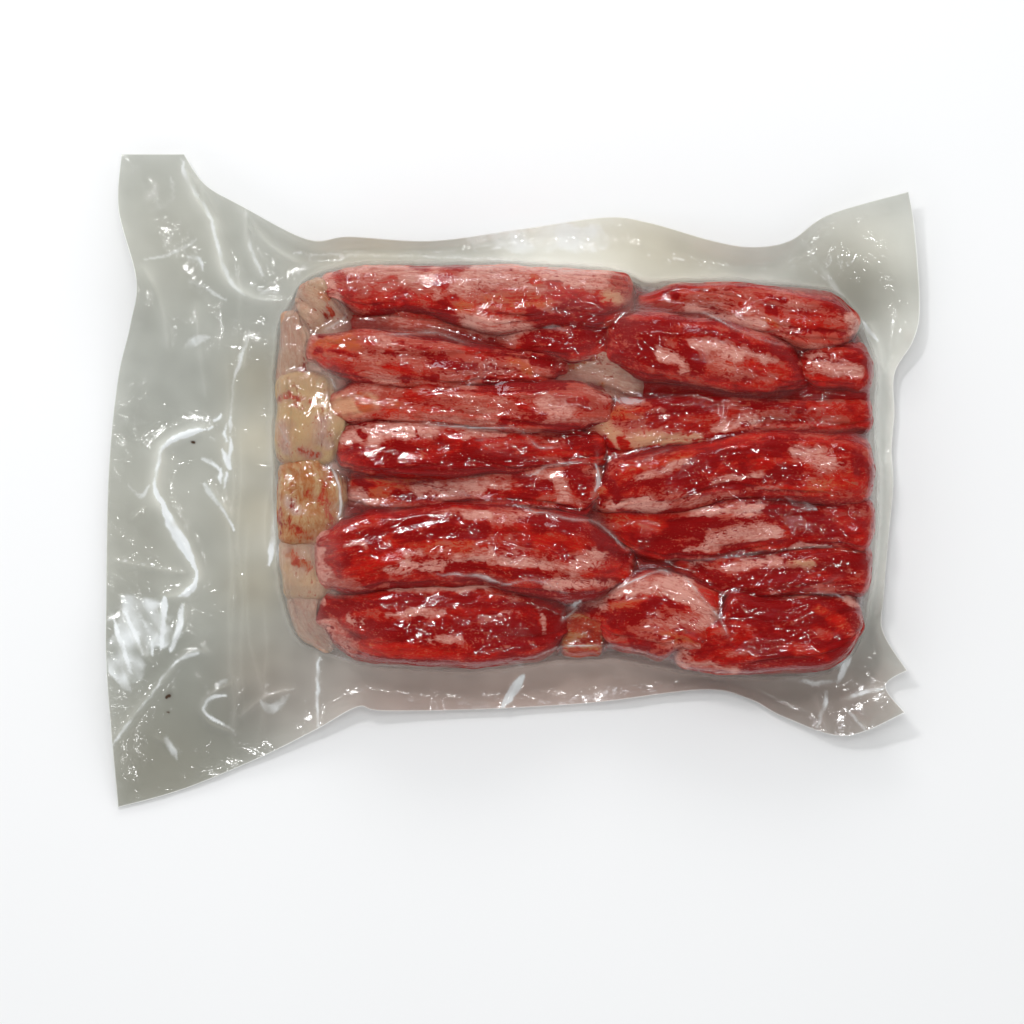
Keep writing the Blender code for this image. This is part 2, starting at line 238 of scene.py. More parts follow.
# Patches on the shown side of each piece, painted in this order: what shows there, both ends of
# the middle of the patch in mm, and its width.
PATCHES = {
    "left_1": [
        ("p", -71, 78, -66, 70, 6), ("p", -62, 79, -38, 81, 6), ("p", -40, 76, -30, 79, 5),
        ("p", -16, 82, 34, 80, 7),
        ("r", -65, 73, -61, 71, 2.5), ("d", -53, 67, -47, 66, 4.5), ("r", -64, 69, -58, 67, 2.5),
        ("r", -55, 72, -53, 71, 1.5), ("p", -28, 73, -16, 74, 5.5), ("r", -39, 81, -32, 80, 2),
        ("d", -23, 81, -18, 80, 2.5), ("r", -29, 76, -25, 74, 3.5), ("r", -37, 70, -32, 70, 2.5),
        ("d", -29, 63, -23, 68, 5), ("o", -21, 67, -15, 66, 3.5), ("d", -42, 66, -23, 61, 1.5),
        ("p", -16, 77, 33, 76, 11.5), ("d", 12, 83, 15, 83, 1.5), ("o", 8, 78, 10, 76, 3),
        ("o", -10, 68, 15, 68, 5), ("r", 15, 73, 27, 69, 5.5), ("d", 8, 63, 19, 60, 4.5),
        ("d", 18, 65, 37, 66, 5.5), ("d", 13, 60, 33, 62, 5.5), ("r", 33, 71, 36, 68, 2.5),
        ("c", 36, 70, 40, 68, 4.5), ("p", -16, 59, 5, 58, 6),
    ],
    "left_2": [
        ("m", -57, 60, -24, 58, 7.5), ("p", -16, 58, 6, 55, 6), ("d", 7, 52, 33, 55, 10.5),
        ("d", 12, 49, 29, 52, 7.5),
    ],
    "left_3": [
        ("p", -76, 46, -76, 54, 4),
        ("o", -73, 50, -62, 52, 7.5), ("d", -74, 49, -64, 49, 1.5), ("d", -64, 49, -57, 46, 1.5),
        ("d", -68, 42, -56, 39, 2.5), ("p", -50, 52, -46, 51, 4), ("d", -34, 55, -29, 54, 2.5),
        ("d", -34, 49, -31, 47, 3), ("r", -55, 53, -52, 50, 3), ("r", -47, 49, -45, 48, 2),
        ("r", -47, 44, -40, 43, 2), ("d", -28, 45, -16, 43, 4), ("d", -40, 39, -30, 39, 2.5),
        ("r", -18, 50, -12, 47, 4), ("o", 0, 45, 7, 41, 4.5), ("d", 9, 46, 17, 42, 6),
        ("d", -12, 37, 18, 37, 2.5),
    ],
    "left_4": [
        ("c", -64, 29, -56, 29, 8.5), ("o", -58, 32, -54, 27, 2.5), ("o", -46, 30, -42, 27, 4),
        ("r", -52, 24, -48, 22, 2.5), ("r", -39, 33, -31, 30, 3.5), ("d", -12, 35, 19, 36, 3.5),
        ("r", 0, 32, 7, 27, 4.5), ("d", -2, 23, 11, 25, 6.5), ("p", 11, 28, 20, 27, 7),
        ("r", 24, 31, 34, 26, 5.5), ("d", 13, 19, 30, 19, 4.5), ("s", -43, 26, -12, 29, 6),
    ],
    "left_5": [
        ("p", -61, 17, -31, 19, 9), ("d", -58, 18, -56, 16, 1.5), ("d", -59, 13, -57, 12, 2),
        ("r", -36, 19, -35, 16, 1), ("d", -62, 10, -46, 6, 6), ("d", -50, 4, -31, 3, 5),
        ("d", -47, 12, -34, 10, 7), ("o", -38, 10, -28, 8, 3.5), ("d", -31, 5, -12, 5, 5.5),
        ("r", -28, 11, -12, 11, 4.5), ("d", -20, 7, 5, 8, 7), ("r", -19, 16, 3, 16, 4.5),
        ("p", -18, 17, -3, 18, 2.5), ("r", 7, 10, 30, 10, 5.5), ("d", 22, 19, 31, 12, 7),
    ],
    "left_6": [
        ("o", -59, 0, -39, -1, 5.5), ("d", -59, 0, -53, -3, 3), ("d", -44, -5, -39, -7, 2.5),
        ("p", -61, -7, -53, -8, 5.5), ("o", -53, -5, -45, -7, 3.5), ("p", -36, -3, -3, -3, 4.5),
        ("d", 1, 1, 8, 0, 2.5), ("d", 3, -5, 14, -3, 3.5), ("p", 10, 3, 20, 1, 3),
        ("p", 18, 1, 19, -8, 4.5), ("d", 23, 4, 30, -10, 7.5), ("d", -9, -5, 0, -6, 3),
        ("d", 19, -10, 29, -11, 4),
    ],
    "left_7": [
        ("p", -74, -22, -72, -36, 8), ("m", -70, -38, -60, -40, 3),
        ("r", -67, -30, -50, -30, 15), ("d", -66, -34, -52, -21, 4.5), ("p", -31, -13, -9, -13, 3),
        ("d", -48, -16, -22, -14, 4), ("d", -43, -22, -12, -19, 4.5), ("o", -45, -25, -16, -24, 4),
        ("p", -46, -34, -28, -31, 3.5), ("p", -28, -31, -9, -29, 2.5), ("d", -24, -33, -5, -32, 1.5),
        ("d", 12, -15, 37, -21, 5.5), ("o", 5, -22, 20, -24, 5.5), ("p", 23, -32, 34, -28, 10),
        ("p", 13, -39, 38, -39, 3.5), ("p", -7, -31, 18, -33, 3), ("d", -5, -35, 13, -36, 2.5),
        ("d", 35, -24, 42, -28, 4), ("o", 36, -30, 40, -31, 2.5), ("r", -5, -19, 7, -18, 4),
        ("p", -62, -25, -57, -24, 2.5), ("p", -41, -28, -35, -27, 2.5),
    ],
    "left_8": [
        ("m", -72, -52, -62, -64, 5), ("p", -73, -45, -72, -58, 5),
        ("d", -73, -50, -63, -49, 5), ("d", -62, -48, -16, -44, 4), ("p", -61, -52, -56, -54, 4),
        ("p", -46, -51, -25, -49, 2.5), ("d", -53, -57, -13, -56, 6), ("o", -56, -65, -20, -66, 5),
        ("p", -32, -60, -19, -60, 2.5), ("d", -12, -59, 7, -57, 8.5), ("d", 7, -44, 17, -54, 6),
        ("p", 10, -48, 13, -57, 3), ("p", -47, -41, -9, -40, 2.5), ("r", -15, -66, 6, -66, 4),
        ("d", -39, -46, 3, -47, 2), ("o", -54, -62, -46, -64, 3), ("p", -12, -51, 3, -50, 2),
    ],
    "right_1": [
        ("d", 60, 72, 62, 70, 1.5), ("d", 69, 74, 71, 74, 1.5), ("r", 80, 67, 83, 65, 2.5),
        ("d", 85, 73, 88, 73, 2), ("d", 92, 70, 103, 68, 2), ("d", 96, 66, 101, 64, 1.5),
        ("o", 96, 61, 100, 58, 3), ("r", 109, 59, 126, 66, 6.5), ("d", 124, 67, 126, 64, 3),
        ("p", 128, 62, 134, 54, 4), ("p", 67, 65, 94, 59, 3), ("s", 71, 70, 94, 66, 5.5),
    ],
    "right_2": [
        ("d", 43, 57, 64, 56, 8.5), ("d", 42, 47, 67, 44, 7.5), ("p", 55, 48, 64, 44, 5),
        ("p", 71, 52, 88, 48, 10.5), ("p", 88, 49, 99, 44, 6.5), ("r", 89, 45, 95, 41, 4),
        ("d", 67, 58, 107, 47, 3), ("r", 97, 43, 112, 41, 5), ("r", 73, 38, 105, 35, 3),
        ("d", 65, 52, 70, 44, 4), ("d", 98, 50, 107, 44, 3),
    ],
    "right_3": [
        ("p", 115, 45, 129, 42, 8.5), ("d", 134, 49, 138, 38, 5.5), ("r", 117, 35, 132, 35, 2.5),
        ("d", 134, 37, 139, 35, 2.5),
    ],
    "right_4": [
        ("c", 34, 21, 45, 12, 8.5), ("o", 36, 26, 51, 25, 4), ("r", 41, 15, 46, 9, 4),
        ("d", 33, 16, 37, 11, 2), ("r", 52, 23, 71, 25, 5.5), ("d", 56, 30, 79, 29, 5),
        ("c", 48, 16, 71, 16, 4.5), ("s", 75, 25, 101, 21, 5.5), ("p", 78, 20, 91, 23, 3),
        ("r", 108, 29, 130, 25, 7), ("d", 79, 17, 108, 17, 2.5), ("d", 48, 34, 67, 34, 4),
        ("d", 86, 29, 109, 28, 3),
    ],
    "right_5": [
        ("o", 35, -3, 71, 10, 10), ("d", 38, -4, 56, 4, 3.5), ("d", 52, -2, 71, 6, 2.5),
        ("p", 38, -9, 58, -10, 4.5), ("p", 48, 1, 67, 8, 2), ("d", 67, 0, 107, 3, 8.5),
        ("d", 71, 9, 106, 13, 6), ("p", 77, 0, 94, 3, 2.5), ("p", 108, 11, 121, 6, 7.5),
        ("o", 113, -3, 128, 0, 7.5), ("d", 131, 8, 138, -2, 5.5), ("d", 35, 1, 40, -7, 2.5),
        ("o", 67, 13, 94, 16, 2.5),
    ],
    "right_6": [
        ("p", 68, -12, 97, -10, 4.5), ("p", 74, -22, 100, -19, 5.5), ("p", 64, -27, 76, -24, 2.5),
        ("d", 51, -24, 71, -17, 4), ("d", 99, -12, 127, -16, 8.5), ("r", 121, -11, 138, -26, 8.5),
        ("d", 73, -29, 104, -28, 2.5), ("p", 108, -24, 121, -25, 3), ("o", 38, -14, 56, -16, 4.5),
        ("d", 58, -19, 67, -15, 2.5), ("d", 109, -19, 121, -20, 3),
    ],
    "right_7": [
        ("p", 83, -33, 102, -31, 4.5), ("d", 86, -39, 107, -38, 7), ("c", 108, -31, 116, -31, 3.5),
        ("d", 118, -31, 134, -30, 5.5), ("p", 67, -32, 79, -36, 3.5), ("d", 71, -34, 83, -38, 2.5),
    ],
    "right_8": [
        ("p", 33, -45, 67, -41, 23), ("o", 35, -52, 56, -44, 10.5), ("d", 38, -54, 54, -47, 5),
        ("p", 58, -40, 76, -51, 5.5), ("d", 45, -60, 52, -62, 2.5), ("d", 58, -45, 64, -48, 1.5),
        ("o", 58, -58, 68, -60, 3.5), ("p", 52, -52, 72, -54, 3.5), ("r", 67, -34, 77, -45, 4.5),
    ],
    "right_9": [
        ("d", 80, -50, 133, -51, 16), ("d", 86, -60, 124, -62, 8.5), ("p", 56, -66, 87, -70, 5),
        ("r", 73, -57, 92, -61, 5.5), ("o", 108, -65, 117, -67, 3.5), ("p", 80, -68, 83, -73, 3),
        ("o", 115, -48, 126, -55, 4), ("r", 71, -66, 90, -71, 4), ("r", 67, -36, 80, -48, 7.5),
        ("d", 96, -64, 120, -71, 7), ("p", 86, -48, 89, -50, 1.5), ("p", 125, -41, 132, -44, 2.5),
        ("s", 79, -58, 93, -69, 4.5), ("o", 103, -63, 118, -65, 4), ("s", 96, -70, 108, -72, 2.5),
        ("s", 114, -55, 120, -58, 3), ("p", 128, -44, 134, -49, 4), ("s", 84, -53, 92, -57, 2),
    ],
    "right_10": [
        ("d", 51, 35, 134, 31, 8.5),
    ],
}

# What shows in a patch: how much red skin is left, how dark the red is, how white the flesh is,
# how stained with orange, and how creamy. The patches are deep red, red, orange, pale, cream,
# streaked with skin, and muted pink.
SHOWS = {
    "d": (1.08, 0.95, 0.1, 0.1, 0.0),
    "r": (0.80, 0.40, 0.3, 0.3, 0.0),
    "o": (0.50, 0.10, 0.2, 0.95, 0.1),
    "p": (0.08, 0.5, 1.0, 0.0, 0.0),
    "c": (0.12, 0.1, 0.6, 0.2, 1.0),
    "s": (0.42, 0.3, 0.35, 0.3, 0.0),
    "m": (0.02, 0.5, 0.35, 0.0, 0.0),
}
LAYERS = ("red", "dark", "white", "orange", "cream")
# How much more of its skin a piece has kept, all over.
REDDER = {
    "left_1": -0.02, "left_3": -0.20, "left_4": -0.18, "left_6": -0.14, "left_7": 0.14,
    "left_8": 0.28, "right_1": -0.08, "right_3": 0.12, "right_4": 0.04, "right_5": 0.10,
    "right_6": 0.18, "right_7": 0.22, "right_9": 0.16,
}

# Fixed random values, and a turn that keeps the lumps off the axes.
CHANCE = np.random.default_rng(11).uniform(-1, 1, 8192)
TURNED = np.array(((0.80, -0.48, 0.36), (0.60, 0.64, -0.48), (0.0, 0.60, 0.80)))


def lumps(points, size, seed):
    """Smooth random values from -1 to 1 at points in mm, about one lump to each size."""
    spots = points @ (TURNED / size) + seed * 7.31
    corner = np.floor(spots)
    part = spots - corner
    ease = part * part * (3 - 2 * part)
    keys = corner.astype(np.int64) * (15731, 78901, 38183) + seed * 1013
    value = []
    for x, y, z in product((0, 1), repeat=3):
        key = (keys[:, 0] + x * 15731) ^ (keys[:, 1] + y * 78901) ^ (keys[:, 2] + z * 38183)
        value.append(CHANCE[(key ^ (key >> 13)) & 8191])
    for axis in range(3):
        half = len(value) // 2
        value = [a + (b - a) * ease[:, axis] for a, b in zip(value[:half], value[half:])]
    return value[0]


def eased(value, low, high):
    """0 below low, 1 above high and smooth between."""
    share = np.clip((value - low) / (high - low), 0, 1)
    return share * share * (3 - 2 * share)


LINE_STEP = 0.5
# The line is smoothed over this many of its points to each side.
LINE_BLUR = 14
LEAST_WIDTH = 3.0


def middle_line(stations, reach=(0, 0)):
    """Close points along a piece's middle: length so far, x, y, width and direction.

    It goes past its first and last station, straight on, by the two lengths in reach.
    """
    rows = np.array(stations, float)
    length = np.concatenate(([0], np.cumsum(np.hypot(*np.diff(rows[:, :2], axis=0).T))))
    along = np.arange(-reach[0], length[-1] + reach[1], LINE_STEP)
    bell = np.exp(-((np.arange(-LINE_BLUR, LINE_BLUR + 1) / (LINE_BLUR / 2)) ** 2))
    bell /= bell.sum()
    smooth = []
    for column, goes_on in zip(rows.T, (True, True, False)):
        value = np.interp(along, length, column)
        if goes_on:
            for end, inner, outside in ((0, 1, along < 0), (-1, -2, along > length[-1])):
                slope = (column[end] - column[inner]) / (length[end] - length[inner])
                value[outside] = column[end] + slope * (along[outside] - length[end])
        padded = np.pad(value, LINE_BLUR, mode="reflect", reflect_type="odd")
        smooth.append(np.convolve(padded, bell, mode="valid"))
    x, y, width = smooth
    turn = np.arctan2(np.gradient(y), np.gradient(x))
    return along, x, y, np.maximum(width, LEAST_WIDTH), turn


def cells_near(x, y, reach):
    """The block of the grid that holds some points and goes a distance past them."""
    near_x = (GRID_X > x.min() - reach) & (GRID_X < x.max() + reach)
    near_y = (GRID_Y > y.min() - reach) & (GRID_Y < y.max() + reach)
    return np.ix_(near_y, near_x)


def cell_of(x, y):
    """The row and column of the cell that holds each point."""
    column = np.rint((x - GRID_X[0]) / CELL).astype(int).clip(0, len(GRID_X) - 1)
    row = np.rint((y - GRID_Y[0]) / CELL).astype(int).clip(0, len(GRID_Y) - 1)
    return row, column


# Every cell of the pocket goes to the piece whose side is nearest, so that neighbours share
# the gap between them and meet. The soft scraps spread twice as readily as the legs.
side_away = np.full(grid_x.shape, MOST_GROWTH)
owner = np.full(grid_x.shape, -1)
for number, (name, (_, *stations)) in enumerate((LEGS | SCRAPS).items()):
    line, x, y, width, turn = middle_line(stations)
    block = cells_near(x, y, width.max() / 2 + 2 * MOST_GROWTH)
    away = np.full(grid_x[block].shape, np.inf)
    for k in range(0, len(line), 3):
        off = np.hypot(grid_x[block] - x[k], grid_y[block] - y[k]) - width[k] / 2
        away = np.minimum(away, off)
    spots = np.stack((grid_x[block].ravel(), grid_y[block].ravel(), 0 * grid_x[block].ravel()), axis=1)
    uneven = 1.3 * lumps(spots, 15.0, number + 120) + 0.7 * lumps(spots, 6.0, number + 150)
    away += uneven.reshape(away.shape)
    if name in SCRAPS:
        away = np.where(away > 0, away / 2, away)
    nearer = away < side_away[block]
    side_away[block] = np.where(nearer, away, side_away[block])
    owner[block] = np.where(nearer, number, owner[block])
owner[grown(~in_pocket, 2)] = -1


def owner_at(x, y):
    """The number of the piece whose ground points of the plan lie on; -1 where there is none."""
    return owner[cell_of(x, y)]


# Further from its middle than this no piece goes, in mm.
FARTHEST_SIDE = 26


def ground_held(number, x, y, dx, dy, least):
    """How far a piece's ground goes from points in a direction; at least the given length."""
    steps = np.arange(0, FARTHEST_SIDE, CELL / 2)
    found = owner_at(x[:, None] + dx[:, None] * steps, y[:, None] + dy[:, None] * steps)
    held = (found == number) | (steps < least[:, None])
    held[:, -1] = False
    return steps[np.argmin(held, axis=1)]


def side_reach(number, x, y, dx, dy, least):
    """How far a piece reaches to one side: its ground, and unevenly into a neighbour's."""
    held = ground_held(number, x, y, dx, dy, least)
    side_x, side_y = x + dx * held, y + dy * held
    uneven = lumps(np.stack((side_x, side_y, 0 * side_x), axis=1), 17.0, 160)
    met = owner_at(side_x + 1.2 * dx, side_y + 1.2 * dy) >= 0
    return held + np.where(met, PRESSED + 1.1 * uneven, OVERLAP)


def softened(values, reach):
    """Values along a line, each averaged with those around it."""
    bell = np.exp(-((np.arange(-2 * reach, 2 * reach + 1) / reach) ** 2))
    return np.convolve(np.pad(values, 2 * reach, mode="edge"), bell / bell.sum(), mode="valid")


def distance_to_line(x, y, x1, y1, x2, y2):
    """How far points (x, y) are from the straight line between two points."""
    dx, dy = x2 - x1, y2 - y1
    share = np.clip(((x - x1) * dx + (y - y1) * dy) / max(dx * dx + dy * dy, 1e-9), 0, 1)
    return np.hypot(x - x1 - share * dx, y - y1 - share * dy)


def furrows(grain, number):
    """Where the thin valleys between a piece's bundles of fibres run, from 0 to 1."""
    broad = lumps(grain * (0.09, 1, 1), 4.2, number + 40)
    narrow = lumps(grain * (0.13, 1, 1), 2.3, number + 41)
    kept = eased(lumps(grain * (0.4, 1, 1), 9.0, number + 42), -0.5, 0.3)
    broad = np.exp(-((broad / 0.13) ** 2)) * (0.4 + 0.6 * kept)
    return broad + 0.5 * np.exp(-((narrow / 0.16) ** 2)) * kept


def painted(places, up, grain, patches, seed, bare, redder=0.0):
    """The five layers of colour at points of a piece: its own mottling, then its patches.

    The patches have uneven sides and end where the piece turns under. Its flanks keep more of
    the skin and are painted darker, as painted shade where the pieces meet. Streaks along the
    fibres come last, then the furrows, painted redder and darker as painted shade in them.
    """
    broad = lumps(places, 9.0, seed)
    small = lumps(places * (0.45, 1, 1), 3.2, seed + 1)
    layers = np.empty((len(places), 5))
    layers[:, 0] = bare[0] + 0.16 * broad + 0.12 * small
    layers[:, 1] = bare[1] + 0.3 * lumps(places, 12.0, seed + 2)
    layers[:, 2] = bare[2] + 0.3 * lumps(places, 6.0, seed + 3)
    layers[:, 3] = bare[3] + 0.2 * lumps(places, 7.0, seed + 4)
    layers[:, 4] = bare[4] * (1 + 0.6 * lumps(places, 4.5, seed + 16))
    wander = lumps(places * (0.55, 1, 1), 3.4, seed + 5) + 0.8 * lumps(places, 1.7, seed + 6)
    x = places[:, 0] + 1.7 * lumps(places, 8.0, seed + 8) + 0.9 * lumps(places, 3.6, seed + 9)
    y = places[:, 1] + 0.9 * lumps(places, 7.0, seed + 10) + 0.6 * lumps(places, 3.0, seed + 11)
    pale = np.zeros(len(places))
    for kind, x1, y1, x2, y2, width in patches:
        away = distance_to_line(x, y, x1, y1, x2, y2)
        away += wander * min(0.2 * width + 0.3, 1.5)
        share = 1 - eased(away, 0.12 * width, 0.12 * width + min(0.6 * width + 0.7, 5.0))
        share *= 0.93 * eased(up, -0.35, 0.1)
        layers += (np.array(SHOWS[kind]) - layers) * share[:, None]
        pale += ((kind in "pmc") - pale) * share
    layers[:, 0] += redder * (1 - 0.6 * pale)
    layers[:, 1] += 0.4 * redder
    # The flanks keep more red skin, and are painted darker as painted shade where the pieces meet.
    flank_skin_and_shade = (1 - eased(up, 0.5, 0.88)) * (1 - 0.85 * pale)
    layers[:, 0] += flank_skin_and_shade * (0.16 + 0.2 * lumps(places, 11.0, seed + 15))
    layers[:, 1] += 0.45 * flank_skin_and_shade
    streak = lumps(grain * (0.11, 1, 1), 2.9, seed + 12)
    layers[:, 0] += 0.26 * streak + 0.14 * lumps(grain * (0.2, 1, 1), 1.5, seed + 13)
    layers[:, 1] += 0.22 * lumps(grain * (0.16, 1, 1), 4.0, seed + 14)
    layers[:, 2] -= 0.2 * streak
    # The furrows are painted redder, and darker as painted shade in them.
    shaded_furrows = furrows(grain, seed - 20)
    layers[:, 0] += 0.2 * shaded_furrows
    layers[:, 1] += 0.35 * shaded_furrows
    under = eased(-up, 0.05, 0.6)
    layers[:, 0] += under * 0.25 * lumps(places, 14.0, seed + 7)
    return np.clip(layers, -0.1, 1.1)


def make_meat(
    name, number, top, stations, sides, rings, fullness=3.9, blunt=2.7, tip=0.2, strands=8, lump=1.0
):
    """One piece of meat: a ball drawn out along its middle line, then made lumpy and fibrous.

    A higher fullness squares its cross-section and a higher blunt its ends. Its ends may reach
    past the line by tip times its width there. It has as many grooves along it as strands, and
    lump says how strong all its lumps and grooves are.
    """
    seed = number + 3
    bpy.ops.mesh.primitive_uv_sphere_add(segments=sides, ring_count=rings, radius=1)
    piece = bpy.context.active_object
    piece.name = piece.data.name = name
    ball = np.empty(len(piece.data.vertices) * 3)
    piece.data.vertices.foreach_get("co", ball)
    ball = ball.reshape(-1, 3)

    # How far along the piece and how far round it each point lies.
    down = np.arccos(np.clip(ball[:, 2], -1, 1)) / pi
    down -= 0.075 * np.sin(2 * pi * down)
    turned = np.arctan2(ball[:, 1], ball[:, 0])
    turned += 0.45 * np.cos(turned)
    at_end = np.hypot(ball[:, 0], ball[:, 1]) < 1e-6

    # Its two sides and its two ends go as far as its ground does, and press into a neighbour.
    line, x, y, width, turn = middle_line(stations)
    own = np.flatnonzero(ground_held(number, x, y, 0 * x, 0 * x, 0 * x) > 0)
    inside = slice(own[0], own[-1] + 1)
    sides_held = [
        softened(side_reach(number, x, y, -s * np.sin(turn), s * np.cos(turn), width * 0.3)[inside], 4)
        for s in (1, -1)
    ]
    tips, ahead = own[[0, -1]], np.array((-1, 1))
    past = ground_held(
        number, x[tips], y[tips], ahead * np.cos(turn[tips]), ahead * np.sin(turn[tips]), 0 * tips
    )
    met = owner_at(x[tips] + ahead * np.cos(turn[tips]) * (past + 1.5),
                   y[tips] + ahead * np.sin(turn[tips]) * (past + 1.5)) >= 0
    past = np.minimum(past, tip * width[tips] + 2) + np.where(met, PRESSED, OVERLAP)
    past -= np.abs(line[tips] - line[[0, -1]])
    inside = line[inside]
    line, x, y, width, turn = middle_line(stations, past)
    along = line[0] + (line[-1] - line[0]) * down

    def at(values):
        return np.interp(along, line, values)

    # Its cross-sections: wide and high in the middle, rounded off towards the ends.
    ends = np.minimum((along - line[0]) / (0.5 * width[0]), (line[-1] - along) / (0.5 * width[-1]))
    rounding = np.clip(1 - (1 - np.clip(ends, 0, 1)) ** blunt, 0, 1) ** (1 / blunt)
    rounding[at_end] = 0
    left, right = [np.interp(along, inside, held) for held in sides_held]
    girth = np.where(np.cos(turned) > 0, left, right) * rounding
    share = np.clip(at(width) / width.max(), 0.2, 1) ** 0.5
    highest = MEAT_FLOOR + (top - MEAT_FLOOR) * (0.4 + 0.6 * share)
    lowest = MEAT_FLOOR + (1 - share) * 3.0
    height = (highest - lowest) / 2 * rounding**0.8
    middle = (highest + lowest) / 2

    across, up = np.cos(turned), np.sin(turned)
    side = np.sign(across) * np.abs(across) ** (2 / fullness)
    rise = np.sign(up) * np.abs(up) ** (2 / fullness)

    places = np.stack((at(x), at(y), middle), axis=1)
    heading = at(turn)
    lean = np.stack((along, 0 * along, 0 * along), axis=1)
    lean = 0.16 * lumps(lean, 30.0, seed + 12) * side * girth * np.abs(up)
    outward = np.stack((-np.sin(heading) * side * girth, np.cos(heading) * side * girth,
                        rise * height + lean), axis=1)
    places += outward
    outward /= np.maximum(np.linalg.norm(outward, axis=1), 1e-6)[:, None]

    # Its lumps, furrows and grooves. Its fibres run along the grain.
    grain = np.stack((along, side * girth, rise * height), axis=1)
    grain += np.array((31.0, 17.0, 11.0)) * seed
    swell = 1.15 * lumps(places, 13.0, seed) + 0.55 * lumps(places * (0.7, 1, 1), 5.5, seed + 1)
    swell += 0.20 * lumps(places * (0.5, 1, 1), 2.2, seed + 2)
    swell -= 0.75 * furrows(grain, number)
    around = np.hypot(girth, height)
    flat = np.zeros_like(places)
    for strand in range(strands):
        flat[:, 0] = along + 300 * strand
        aim = 2 * pi * (strand + 0.5) / strands + seed + 0.35 * lumps(flat, 26.0, seed + 8)
        off = np.abs((turned - aim + pi) % (2 * pi) - pi) * around
        strength = 0.45 + 0.55 * lumps(flat, 17.0, seed + 9)
        swell -= 1.25 * np.clip(strength, 0, 1) * np.exp(-((off / 1.15) ** 2))
        swell += 0.35 * np.clip(strength, 0, 1) * np.exp(-(((off - 2.6) / 1.6) ** 2))
    swell *= lump * (0.3 + 0.7 * rounding) * (0.45 + 0.55 * np.abs(up))
    swell[at_end] = 0
    places += outward * swell[:, None]

    # What would go below the floor is pressed flat on it.
    low = places[:, 2] < MEAT_FLOOR + PRESSED_HEIGHT
    squeezed = (places[low, 2] - MEAT_FLOOR - PRESSED_HEIGHT) / PRESSED_HEIGHT
    places[low, 2] = MEAT_FLOOR + PRESSED_HEIGHT * np.exp(squeezed)
    return piece, places, up, grain


def keep_layers(mesh, layers, grain):
    """Puts a piece's painted layers and the run of its fibres on its mesh, for its material."""
    for name, values in zip(LAYERS, layers.T):
        layer = mesh.attributes.new(name, "FLOAT", "POINT")
        layer.data.foreach_set("value", values)
    layer = mesh.attributes.new("grain", "FLOAT_VECTOR", "POINT")
    layer.data.foreach_set("vector", grain.ravel())


def node(tree, kind, inputs=(), **settings):
    """Adds a shader node: its settings, then sockets by name, set to a value or linked."""
    made = tree.nodes.new("ShaderNode" + kind)
    for key, value in settings.items():
        setattr(made, key, value)
    for key, value in dict(inputs).items():
        if isinstance(value, bpy.types.NodeSocket):
            tree.links.new(value, made.inputs[key])
        else:
            made.inputs[key].default_value = value
    return made


def attribute(tree, name, output="Fac"):
    """A value kept on the mesh, as a shader node's output."""
    return node(tree, "Attribute", attribute_name=name).outputs[output]


def maths(tree, operation, *values):
    """A calculation on values or sockets, as a shader node's output."""
    return node(tree, "Math", dict(enumerate(values)), operation=operation).outputs[0]


def sum_of(tree, first, second, share=1.0):
    """first + second * share, as a shader node's output."""
    return maths(tree, "MULTIPLY_ADD", second, share, first)


def between(tree, value, low, high):
    """0 where value is below low, 1 above high and smooth between."""
    made = node(tree, "MapRange", {"Value": value, "From Min": low, "From Max": high},
                interpolation_type="SMOOTHSTEP")
    return made.outputs["Result"]


def mixed(tree, share, first, second):
    """The first colour where share is 0, the second where it is 1."""
    made = node(tree, "Mix", {0: share, 6: first, 7: second}, data_type="RGBA")
    return made.outputs[2]


def new_material(name):
    """A new material, with its node tree and its main shader."""
    finish = bpy.data.materials.new(name)
    finish.use_nodes = True
    tree = finish.node_tree
    return finish, tree, tree.nodes["Principled BSDF"]


def noise_on(tree, place, scale, detail=4.0, roughness=0.6, distortion=0.0):
    """A noise texture spread out over -0.5 to 0.5, so that it pushes both ways."""
    made = node(tree, "TexNoise", {
        "Vector": place, "Scale": scale, "Detail": detail, "Roughness": roughness,
        "Distortion": distortion,
    })
    wide = node(tree, "MapRange", {
        "Value": made.outputs["Fac"], "From Min": 0.3, "From Max": 0.7, "To Min": -0.5,
        "To Max": 0.5,
    })
    return wide.outputs["Result"]


def stretched(tree, place, scales, turn=(0, 0, 0)):
    """A place scaled along each axis and turned, so that a pattern on it is drawn out."""
    made = node(tree, "Mapping", {"Vector": place, "Rotation": turn, "Scale": scales})
    return made.outputs["Vector"]


